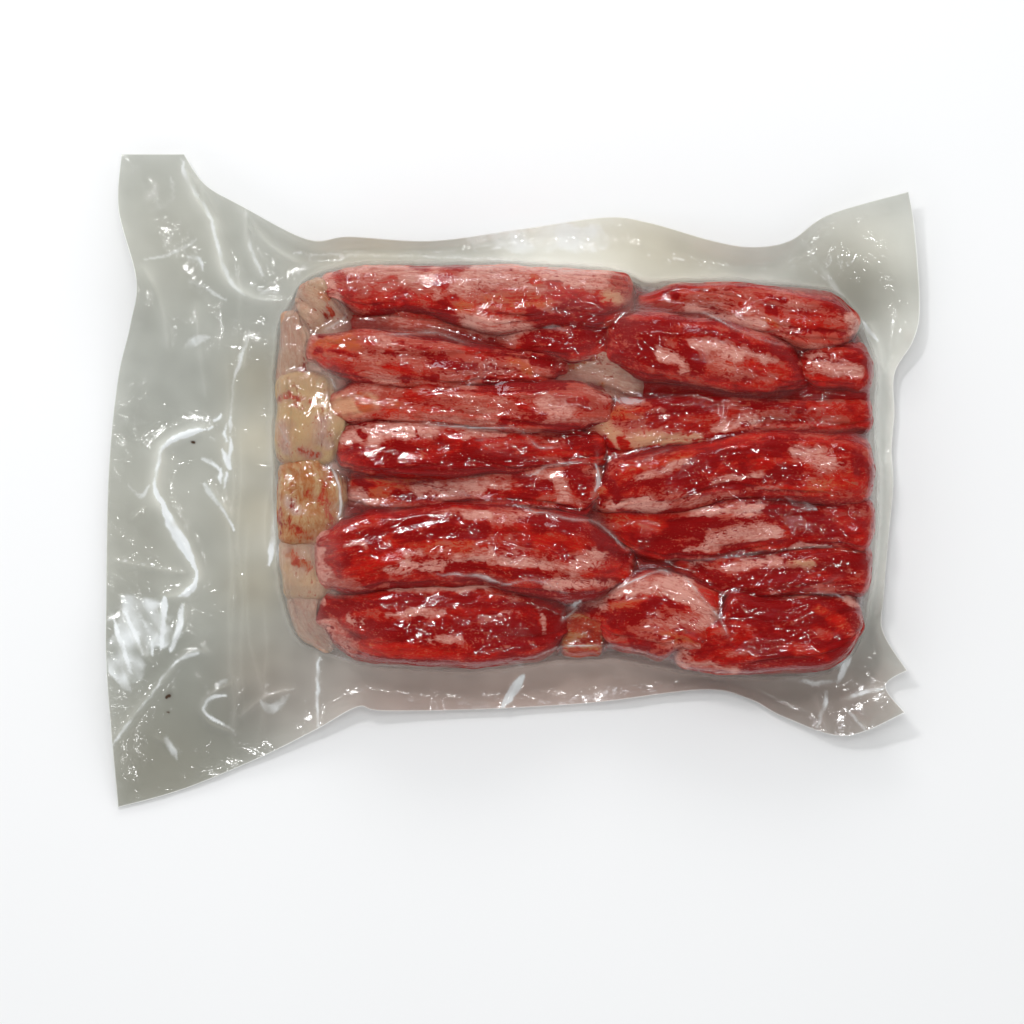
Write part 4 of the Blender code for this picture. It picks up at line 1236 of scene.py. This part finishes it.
# The margin's height: from the seam out to the rim, with slow waves and its creases.
shares = np.linspace(-0.12, 1.05, 190)
x = seam_line[:, :1] + (rim_line - seam_line)[:, :1] * shares
y = seam_line[:, 1:] + (rim_line - seam_line)[:, 1:] * shares
out = np.clip(shares, 0, 1)
height = SEAM_HEIGHT * (1 - out) ** 2 + rows[:, 2:3] * out**2
breadth = np.hypot(*(rim_line - seam_line).T)[:, None]
margin, from_seam, from_rim = [
    to_grid(x.ravel(), y.ravel(), values.ravel())
    for values in (height, out * breadth, (1 - out) * breadth)
]
apart = SHEETS_APART * eased(from_rim, 0, 4)
margin = blurred(margin, 3)
waves = 1.1 * grid_lumps(30, 71) + 0.5 * grid_lumps(13, 72) + 0.16 * grid_lumps(5, 73)
margin += waves * eased(from_seam, 1, 14)
margin_crease = crease(MARGIN_CREASES)
seal_crease = crease(SEAL_CREASES)
margin += (margin_crease + 0.6 * seal_crease) * ~in_pocket
margin = np.maximum(margin, TABLE_CLEARANCE + SHEETS_APART)
margin = np.where(in_pocket, SEAM_HEIGHT, margin)

# The upper film leaves the meat's side a little and comes down to the margin outside the seam.
no_ceiling = np.full(grid_x.shape, np.inf)
loose = grown(in_pocket, 3)
upper = np.where(in_pocket, np.maximum(meat_top + FILM_GAP, SEAM_HEIGHT + 8), margin)
upper = drawn_tight(upper, meat_top + FILM_GAP, no_ceiling, loose, FILM_BEND, UPPER_ROUNDS)
# Its steep sides are smoothed once more, because a grid shows steps there.
slope = np.hypot(*np.gradient(upper, CELL))
steep = blurred(eased(slope, 1.2, 3.0), 2)
upper += (blurred(upper, 2) - upper) * steep

# The lower film is drawn up against the meat in the same way, turned upside down.
lower = np.where(in_pocket, np.minimum(meat_foot - FILM_GAP, 1.0), margin)
lower = np.maximum(lower, TABLE_CLEARANCE)
lower = -drawn_tight(
    -lower, -(meat_foot - UNDER_GAP), np.full(grid_x.shape, -TABLE_CLEARANCE), in_pocket,
    UNDER_BEND, UNDER_ROUNDS,
)

# Over the meat the film is puckered: soft dents, sharp little creases, and the large creases.
pocket_crease = 0.75 * crease(POCKET_CREASES)
inside_depth = eased(blurred(in_pocket.astype(float), 5), 0.5, 1.0)
touching = eased(upper - meat_top, 2.2, 0.6)
puckers = 0.20 * grid_lumps(6.5, 81, (1, 1.3, 1)) + 0.11 * grid_lumps(2.9, 82)
puckers += 0.16 * np.clip(grid_lumps(8.0, 83, (0.6, 1.5, 1)), 0.2, 1)
fine_crease = np.exp(-((grid_lumps(11, 84, (0.7, 1.3, 1)) / 0.045) ** 2))
fine_crease *= eased(grid_lumps(15, 85), -0.1, 0.35)
more_crease = np.exp(-((grid_lumps(7, 86, (1.2, 0.8, 1)) / 0.06) ** 2))
fine_crease = np.maximum(fine_crease, more_crease * eased(grid_lumps(13, 87), 0.0, 0.4))
puckers += 0.42 * fine_crease
upper += (puckers * (0.5 + 0.5 * (1 - touching)) + pocket_crease) * inside_depth
upper = np.where(in_pocket, np.maximum(upper, meat_top + LEAST_FILM_GAP), upper)

# In the margin the two sheets lie close together, and at the rim they meet.
lower = np.where(in_pocket, lower, margin - apart / 2)
upper = np.where(grown(in_pocket, 5), upper, margin + apart / 2)
upper = np.maximum(upper, lower + np.minimum(apart, SHEETS_APART))


def lattice(step, wanted):
    """Points of a triangular lattice where the wanted cells are."""
    points = []
    for k, y in enumerate(np.arange(GRID_Y[0], GRID_Y[-1], step * 0.866)):
        x = np.arange(GRID_X[0] + (k % 2) * step / 2, GRID_X[-1], step)
        points.append(np.stack((x, np.full(len(x), y)), axis=1))
    points = np.concatenate(points)
    return points[wanted[cell_of(*points.T)]]


def triangulated(rim, inner):
    """Triangles over the area inside a closed rim, through the inner points.

    Of the triangles with all corners on the rim, those outside it are left out.
    """
    points = np.concatenate((rim, inner))
    made = delaunay_2d_cdt(
        [Vector(p) for p in points], [], [list(range(len(rim)))], 1, 1e-6, True
    )
    place, found = np.array(made[0]), np.array(made[2])
    order = np.array([origins[0] if origins else -1 for origins in made[3]])
    on_rim = ((order >= 0) & (order < len(rim)))[found].all(axis=1)
    middle = place[found].mean(axis=1)
    x1, y1 = rim.T
    x2, y2 = np.roll(rim, -1, axis=0).T
    for k in np.flatnonzero(on_rim):
        x, y = middle[k]
        hit = (y1 <= y) != (y2 <= y)
        crossings = x1[hit] + (y - y1[hit]) / (y2[hit] - y1[hit]) * (x2[hit] - x1[hit])
        on_rim[k] = (crossings > x).sum() % 2 == 0
    return place, found[~on_rim], order


def closed_skin(name, rim, rim_height, above, below, upper_points, lower_points):
    """A closed mesh from an upper and a lower sheet of points that share their rim."""
    points, triangles, count = [np.column_stack((rim, rim_height))], [], len(rim)
    for sheet, inner, facing in ((above, upper_points, 1), (below, lower_points, -1)):
        place, found, order = triangulated(rim, inner)
        on_rim = (order >= 0) & (order < len(rim))
        renumber = np.where(on_rim, order, 0)
        free = np.flatnonzero(~on_rim)
        renumber[free] = count + np.arange(len(free))
        points.append(np.column_stack((place[free], grid_value(sheet, *place[free].T))))
        count += len(free)
        triangles.append(renumber[found][:, ::facing])
    points, triangles = np.concatenate(points), np.concatenate(triangles)
    mesh = bpy.data.meshes.new(name)
    mesh.from_pydata(points * MM, [], triangles)
    mesh.update()
    made = bpy.data.objects.new(name, mesh)
    bpy.context.scene.collection.objects.link(made)
    return made, points


def take(item):
    """Selects one object alone, as the active one."""
    bpy.ops.object.select_all(action="DESELECT")
    item.select_set(True)
    bpy.context.view_layer.objects.active = item


# The film's points lie close at creases and painted highlights, and further apart where it is
# smooth. Rings of points follow the rim and the pocket's steep side.
painted_highlight = paint_highlights(PAINTED_HIGHLIGHTS)
crest = np.clip(pocket_crease / 0.6, 0, 1) ** 6
rim = rim_rows(RIM_STEP)
near_rim = in_bag & ~grown(~in_bag, 3)
near_pocket = grown(in_pocket, 4)
wall = near_pocket & grown(~in_pocket, 4)
free = near_rim & ~wall
sharp = (np.abs(blurred(painted_highlight, 1) - painted_highlight) > 0.05) | (crest > 0.2)
sharp |= ((margin_crease > 0.55) | (seal_crease > 0.28)) & ~in_pocket
sharp_points = lattice(SHARP_STEP, free & sharp)
fine_points = lattice(FINE_STEP, free & near_pocket & ~sharp)
coarse_points = lattice(COARSE_STEP, free & ~near_pocket & ~sharp)
rings = [inset(rim[:, :2], away) for away in EDGE_RINGS]
seam = evenly(seam_line, WALL_STEP)
wall_rings = [inset(seam, away) for away in WALL_RINGS]
under = np.concatenate((rings[0], *wall_rings[::3], lattice(UNDER_STEP, free)))
rim_height = grid_value(margin, *rim[:, :2].T)
bag, bag_points = closed_skin(
    "bag_film", rim[:, :2], rim_height, upper, lower,
    np.concatenate((*rings, *wall_rings, sharp_points, fine_points, coarse_points)), under,
)
take(bag)
bpy.ops.object.shade_smooth_by_angle(angle=radians(70))

# Painted light and shade on the film, its warm painted reflection of the meat at the front, and
# where it is straw-coloured, over the plan of the bag: the middle of each soft round patch, its
# radius, all in mm, and how much it adds.
PAINTED_LIGHT_AND_SHADE = [
    (-125, 110, 30, -0.02), (20, 88, 26, 0.65), (60, 86, 30, 0.15), (130, 75, 16, -0.35),
    (145, 90, 16, 0.35), (125, 100, 16, 0.15), (150, 60, 12, 0.3), (-135, -110, 30, -0.35),
    (-110, -95, 25, -0.3), (0, -80, 60, 0.1), (100, -82, 40, -0.3), (142, 0, 22, 0.8),
    (142, 35, 14, 0.6), (142, -35, 14, 0.6), (142, 10, 20, 0.3), (-145, -60, 20, -0.3),
    (-97, -20, 14, 0.25), (-97, 15, 14, 0.25), (-135, 60, 25, -0.1),
]
PAINTED_MEAT_REFLECTION = [
    (-40, -80, 40, 0.8), (20, -78, 40, 0.9), (80, -80, 40, 0.9), (-95, -80, 18, 0.25),
    (130, -85, 20, 0.5),
]
STRAW = [
    (-97, 40, 13, 0.8), (-97, 15, 13, 0.8), (-97, -12, 13, 0.8), (-97, -40, 13, 0.8),
    (-97, -70, 13, 0.5), (0, 92, 30, 0.3), (-55, 90, 25, 0.9), (60, 90, 30, 0.9),
    (-140, -20, 40, 0.3), (-135, -110, 30, 0.5), (130, 80, 25, 0.5), (-130, 90, 30, 0.3),
]
# Where the film is veiled over the meat by trapped juice and air, in the same way.
VEILED = [
    (-90, 20, 4, 0.2), (-90, -12, 4, 0.2), (-88, -40, 4, 0.2),
    (-88, 62, 9, 0.30), (-87, 48, 9, 0.30), (-88, 34, 6, 0.22), (-88, 8, 4, 0.22), (-87, -30, 6, 0.22),
    (-84, -48, 9, 0.42), (-78, -60, 9, 0.65), (-68, 38, 6, 0.28), (-66, 5, 5, 0.3),
    (-67, -12, 5, 0.3), (-68, -38, 5, 0.36), (-66, -62, 7, 0.35), (-71, -26, 5, 0.3),
    (-60, 79, 9, 0.25), (-40, 80, 9, 0.25), (-10, 80, 12, 0.22),
    (20, 79, 12, 0.2), (44, 68, 7, 0.25), (30, 42, 8, 0.15), (134, 60, 7, 0.25), (-60, -66, 9, 0.2),
]
# The least and most of such a veil beside the meat and over it, and how milky the film is at
# most where it has risen over the meat without a veil.
VEIL_BESIDE = (0.002, 0.45)
VEIL_OVER_MEAT = (0.002, 0.5)
HAZE_OVER_MEAT = 0.09


def patches_of(spots, start):
    """A starting value over the plan of the bag, with soft round patches added to it."""
    total = np.full(grid_x.shape, float(start))
    for x, y, radius, amount in spots:
        total += amount * np.exp(-(((grid_x - x) ** 2 + (grid_y - y) ** 2) / radius**2))
    return total


bag_crease = margin_crease / 3 + 0.35 * seal_crease + 0.5 * pocket_crease
painted_light_shade = patches_of(PAINTED_LIGHT_AND_SHADE, 0.5) + 0.08 * grid_lumps(20, 91) + 0.06 * grid_lumps(6, 92)
warm = patches_of(PAINTED_MEAT_REFLECTION, 0.0)
straw = patches_of(STRAW, 0.0)

# Empty film is milky. Over the meat it is clear, but for the veiled patches and the seam.
outside = eased(filled, 0.6, 0.15)
near_seam = 1 - eased(blurred(in_pocket.astype(float), 7), 0.5, 1.0)
veil = (0.16 * near_seam + patches_of(VEILED, 0.0)) * (0.75 + 0.45 * grid_lumps(7, 93))
haze = np.maximum(outside, np.clip(veil, *VEIL_BESIDE))
warm = np.maximum(warm, 0.55 * in_pocket * (1 - outside))

# How far each point of the film is from its cut edge, up to a few mm.
x, y, z = bag_points.T
EDGE_REACH = 4.0
rim_tree = BVHTree.FromPolygons(
    [Vector((*p, 0)) for p in rim[:, :2]] + [Vector((*p, 1)) for p in rim[:, :2]],
    [(i, (i + 1) % len(rim), len(rim) + (i + 1) % len(rim), len(rim) + i) for i in range(len(rim))],
)
near_edge = [rim_tree.find_nearest(Vector((px, py, 0)), EDGE_REACH)[3] for px, py in zip(x, y)]
edge = np.array([EDGE_REACH if away is None else away for away in near_edge])

# The vacuum has pressed the film clear where it has risen over the meat, but for the veils.
haze = grid_value(haze, x, y)
risen = eased(z, SEAM_HEIGHT + 0.8, SEAM_HEIGHT + 4.5)
risen *= grid_value(blurred(grown(in_pocket, 5).astype(float), 2), x, y)
haze += (np.minimum(haze, HAZE_OVER_MEAT) - haze) * risen
haze = np.maximum(haze, grid_value(np.clip(veil, *VEIL_OVER_MEAT) * in_pocket, x, y))
# Along the creases and their crests the film is whitened, partly as its own stress whitening and partly
# as painted highlight.
for name, values in (
    ("haze", haze), ("painted_light_shade", grid_value(painted_light_shade, x, y)),
    ("warm", grid_value(warm, x, y)), ("straw", grid_value(np.clip(straw, 0, 1), x, y)),
    ("crease", grid_value(bag_crease, x, y)),
    ("edge", eased(edge, 0.42, 0.02)), ("painted_highlight", grid_value(painted_highlight, x, y)),
    ("crest", grid_value(crest * (0.55 + 0.45 * grid_lumps(5, 97)), x, y)),
):
    layer = bag.data.attributes.new(name, "FLOAT", "POINT")
    layer.data.foreach_set("value", values)

# The film's finish. It is part clear and part milky, as the haze says, under a wrinkled gloss
# that is stronger at a slant. The noise is turned, so that a flat part of the film doesn't lie
# along the noise's squares.
OFF_AXES = (0.5, 0.35, 0.7)
film, tree, shader = new_material("vacuum_film")
tree.nodes.remove(shader)
place = node(tree, "TexCoord").outputs["Object"]
haze = attribute(tree, "haze")
creases = attribute(tree, "crease")
# The milky colour is painted lighter and darker as light and shade fell on the film, with some random
# unevenness, and lighter along the creases.
tone = sum_of(tree, attribute(tree, "painted_light_shade"), creases, 0.35)
tone = between(tree, tone, 0.0, 1.2)
cool = mixed(tree, tone, (0.46, 0.47, 0.42, 1), (0.97, 0.98, 0.93, 1))
warmth = mixed(tree, tone, (0.36, 0.265, 0.225, 1), (0.92, 0.76, 0.68, 1))
straw = mixed(tree, tone, (0.46, 0.43, 0.34, 1), (0.98, 0.94, 0.80, 1))
cool = mixed(tree, attribute(tree, "straw"), cool, straw)
# At the front the milky colour takes on a painted reflection of the meat. Over the pocket the warmth is
# the meat under the film.
milk = mixed(tree, attribute(tree, "warm"), cool, warmth)
# The painted highlights turn the milky colour white, and the dark specks turn it dark.
painted_highlight = attribute(tree, "painted_highlight")
speck = between(tree, painted_highlight, 0.0, -0.6)
white = maths(tree, "MAXIMUM", painted_highlight, attribute(tree, "crest"))
milk = mixed(tree, between(tree, white, 0.0, 0.65), milk, (0.98, 1.0, 1.0, 1))
milk = mixed(tree, speck, milk, (0.10, 0.06, 0.04, 1))
milk = mixed(tree, attribute(tree, "edge"), milk, (0.98, 0.98, 0.97, 1))
fold = noise_on(tree, stretched(tree, place, (1.0, 0.7, 1.0), OFF_AXES), 42, 2, 0.5, 1.0)
fold = maths(tree, "MULTIPLY", maths(tree, "ABSOLUTE", fold), haze)
milky = node(tree, "BsdfDiffuse", {"Color": milk, "Roughness": 0.6})
through = node(tree, "BsdfTranslucent", {"Color": milk})
cloudy = node(tree, "MixShader", {0: 0.25, 1: milky.outputs[0], 2: through.outputs[0]})
clear = node(tree, "BsdfTransparent", {"Color": (0.985, 0.985, 0.98, 1)})
share = maths(tree, "MULTIPLY", haze, 0.62)
# Where creases, crests and highlights are painted white, more of the milky part shows.
share = sum_of(tree, share, creases, 0.12)
share = sum_of(tree, share, attribute(tree, "edge"), 0.4)
share = sum_of(tree, share, attribute(tree, "crest"), 0.5)
share = sum_of(tree, share, between(tree, painted_highlight, 0.0, 0.9), 0.4)
share = sum_of(tree, share, speck, 0.4)
share = node(tree, "Clamp", {"Value": share}).outputs[0]
body = node(tree, "MixShader", {0: share, 1: clear.outputs[0], 2: cloudy.outputs[0]})
wrinkle = noise_on(tree, stretched(tree, place, (0.6, 1.0, 1.0), OFF_AXES), 170, 3, 0.6, 0.8)
wrinkle = sum_of(tree, maths(tree, "ABSOLUTE", wrinkle), fold, 3.0)
bump = node(tree, "Bump", {"Height": wrinkle, "Strength": 0.5, "Distance": 0.0005})
gloss = node(tree, "BsdfGlossy", {
    "Color": (1, 1, 1, 1), "Roughness": 0.10, "Normal": bump.outputs["Normal"],
})
facing = node(tree, "LayerWeight", {"Blend": 0.5, "Normal": bump.outputs["Normal"]})
slant = maths(tree, "POWER", facing.outputs["Facing"], 4.0)
shine = maths(tree, "MULTIPLY_ADD", slant, 0.9, 0.06)
off_edge = maths(tree, "SUBTRACT", 1.0, attribute(tree, "edge"))
shine = maths(tree, "MULTIPLY", shine, off_edge)
surface = node(tree, "MixShader", {0: shine, 1: body.outputs[0], 2: gloss.outputs[0]})
tree.links.new(surface.outputs[0], tree.nodes["Material Output"].inputs["Surface"])
bag.data.materials.append(film)
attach(bag, "root")
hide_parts("filled_bag")

# Juice. A little pink-brown liquor drawn out of the meat by the vacuum. It fills the valleys
# between the pieces right up to the film, and the corner at the bag's mouth side.

# In mm: how far apart the points of its top and its underside lie, how far inside the seam it
# ends, and the least space between the points of its rim.
JUICE_STEP = 1.6
JUICE_UNDER_STEP = 3.2
POOL_INSET = 1.4
POOL_SPACING = 1.2
# How far it stays under the upper film and over the lower one, and how thin it gets, in mm.
UNDER_UPPER_FILM = 0.75
OVER_LOWER_FILM = 0.35
THINNEST_JUICE = 0.3

# The pool's rim is the seam moved inwards, without points that come too close together.
juice_rows = rim_rows(JUICE_STEP)
outward = juice_rows[:, :2] - juice_rows[:, 3:]
outward /= np.linalg.norm(outward, axis=1)[:, None]
pool = juice_rows[:, 3:] - POOL_INSET * outward
spaced = [0]
for k in range(1, len(pool)):
    if np.hypot(*(pool[k] - pool[[0, spaced[-1]]]).T).min() > POOL_SPACING:
        spaced.append(k)
pool = pool[spaced]
in_pool = inside_of(pool)
in_pool &= ~grown(~in_pool, 2)
juice_top = np.maximum(upper - UNDER_UPPER_FILM, lower + 0.5)
juice_foot = np.minimum(lower + OVER_LOWER_FILM, juice_top - THINNEST_JUICE)
pool_height = (grid_value(upper, *pool.T) + grid_value(lower, *pool.T)) / 2
juice, juice_points = closed_skin(
    "juice", pool, pool_height, juice_top, juice_foot, lattice(JUICE_STEP, in_pool),
    lattice(JUICE_UNDER_STEP, in_pool),
)
take(juice)
bpy.ops.object.shade_smooth_by_angle(angle=radians(60))

# It hides more of what is under it the deeper it is, and it is paler at the mouth side. Past the
# meat there is none.
x, y, _ = juice_points.T
pale = eased(x, -60, -72)
depth = np.clip(juice_top - np.maximum(meat_top, 0.0), 0, 14)
depth = grid_value(blurred(depth, 1), x, y)
depth = 1 - np.exp(-np.maximum(depth - 0.7, 0) / (4.5 - 2 * pale))
depth *= eased(grid_value(filled, x, y), 0.3, 0.7)
for name, values in (("depth", depth), ("pale", pale)):
    layer = juice.data.attributes.new(name, "FLOAT", "POINT")
    layer.data.foreach_set("value", values)

liquor, tree, shader = new_material("meat_juice")
place = node(tree, "TexCoord").outputs["Object"]
swirl = noise_on(tree, place, 90, 5, 0.6, 0.6)
tint = mixed(tree, between(tree, swirl, 0.3, 0.7), (0.17, 0.010, 0.008, 1), (0.34, 0.07, 0.055, 1))
tint = mixed(tree, attribute(tree, "pale"), tint, (0.52, 0.34, 0.28, 1))
tree.links.new(tint, shader.inputs["Base Color"])
tree.links.new(attribute(tree, "depth"), shader.inputs["Alpha"])
shader.inputs["Roughness"].default_value = 0.3
shader.inputs["Specular IOR Level"].default_value = 0.1
juice.data.materials.append(liquor)
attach(juice, "root")
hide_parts("filled_bag")

# The floor. A plain white sheet that the bag lies on, wide enough for every view.

bpy.ops.mesh.primitive_plane_add(size=9, location=(0, 0, 0))
floor = bpy.context.active_object
floor.name = "floor"
white, tree, shader = new_material("white_floor")
mottle = noise_on(tree, node(tree, "TexCoord").outputs["Object"], 3, 3, 0.5)
tree.links.new(
    mixed(tree, mottle, (0.86, 0.86, 0.86, 1), (0.88, 0.88, 0.88, 1)), shader.inputs["Base Color"]
)
shader.inputs["Roughness"].default_value = 0.7
shader.inputs["Specular IOR Level"].default_value = 0.1
floor.data.materials.append(white)

# Light. A pale room that is dim overhead, a bright window and a pale one behind the bag on the
# left, and two small lamps, which all glint in the film. Two broad soft panels overhead and low
# at the back light it without being mirrored, and the shadow falls softly forward.

world = bpy.data.worlds.new("pale_room")
bpy.context.scene.world = world
world.use_nodes = True
tree = world.node_tree
look = node(tree, "TexCoord").outputs["Generated"]
height = node(tree, "SeparateXYZ", {0: look}).outputs["Z"]
glow = node(tree, "MapRange", {
    "Value": height, "From Min": 0.45, "From Max": 0.97, "To Min": 1.15, "To Max": 0.06,
}, interpolation_type="SMOOTHSTEP").outputs["Result"]
# The film mirrors the room only dimly, so that it stays clear.
mirrored = node(tree, "LightPath").outputs["Is Glossy Ray"]
dimmed = maths(tree, "MULTIPLY_ADD", mirrored, -0.85, 1.0)
glow = maths(tree, "MULTIPLY", glow, dimmed)
tree.links.new(glow, tree.nodes["Background"].inputs["Strength"])
tree.nodes["Background"].inputs["Color"].default_value = (0.97, 0.99, 1.0, 1)


def panel(name, place, aim, size, radiance):
    """A soft oval light, aimed at a point; radiance is for the rectangle that holds it."""
    lamp = bpy.data.lights.new(name, "AREA")
    lamp.shape = "ELLIPSE"
    lamp.size, lamp.size_y = size
    lamp.energy = radiance * pi * size[0] * size[1]
    made = bpy.data.objects.new(name, lamp)
    made.location = place
    made.rotation_euler = (Vector(aim) - Vector(place)).to_track_quat("-Z", "Y").to_euler()
    bpy.context.scene.collection.objects.link(made)
    return made


panel("window", (-0.42, 0.62, 1.15), (0, 0, 0), (0.26, 0.12), 42)
panel("lamp_overhead", (0.16, 0.22, 1.4), (0, 0, 0), (0.16, 0.05), 34)
panel("lamp_front", (0.35, -0.42, 1.1), (0, 0, 0), (0.14, 0.05), 18)
panel("ceiling", (-0.15, 0.3, 1.6), (0, 0, 0), (0.6, 0.5), 4.0).visible_glossy = False
sky = panel("pale_window", (-0.3, 0.85, 1.2), (0, 0, 0), (0.5, 0.34), 3.0)
sky.data.color = (0.92, 0.92, 1.0)
panel("low_back", (-0.1, 1.6, 0.75), (0, 0, 0), (1.2, 0.5), 4).visible_glossy = False

# The camera. Straight over the bag, with a long lens, as the bag was photographed. The view has
# this width, in metres, around its middle, which lies at the height of the meat's sides.

VIEW_WIDTH = 0.38912
VIEW_MIDDLE = Vector((-0.0002, -0.0118, 0.012))
CAMERA_HEIGHT = 3.0
SENSOR = 36
camera = bpy.data.objects.new("camera", bpy.data.cameras.new("camera"))
camera.location = VIEW_MIDDLE + Vector((0, 0, CAMERA_HEIGHT))
camera.data.sensor_width = SENSOR
camera.data.lens = SENSOR * CAMERA_HEIGHT / VIEW_WIDTH
camera.data.clip_end = 20
bpy.context.scene.collection.objects.link(camera)
bpy.context.scene.camera = camera
bpy.context.scene.view_settings.view_transform = "Standard"
cycles = bpy.context.scene.cycles
cycles.max_bounces = 6
cycles.diffuse_bounces = 3
cycles.glossy_bounces = 2
cycles.transparent_max_bounces = 12
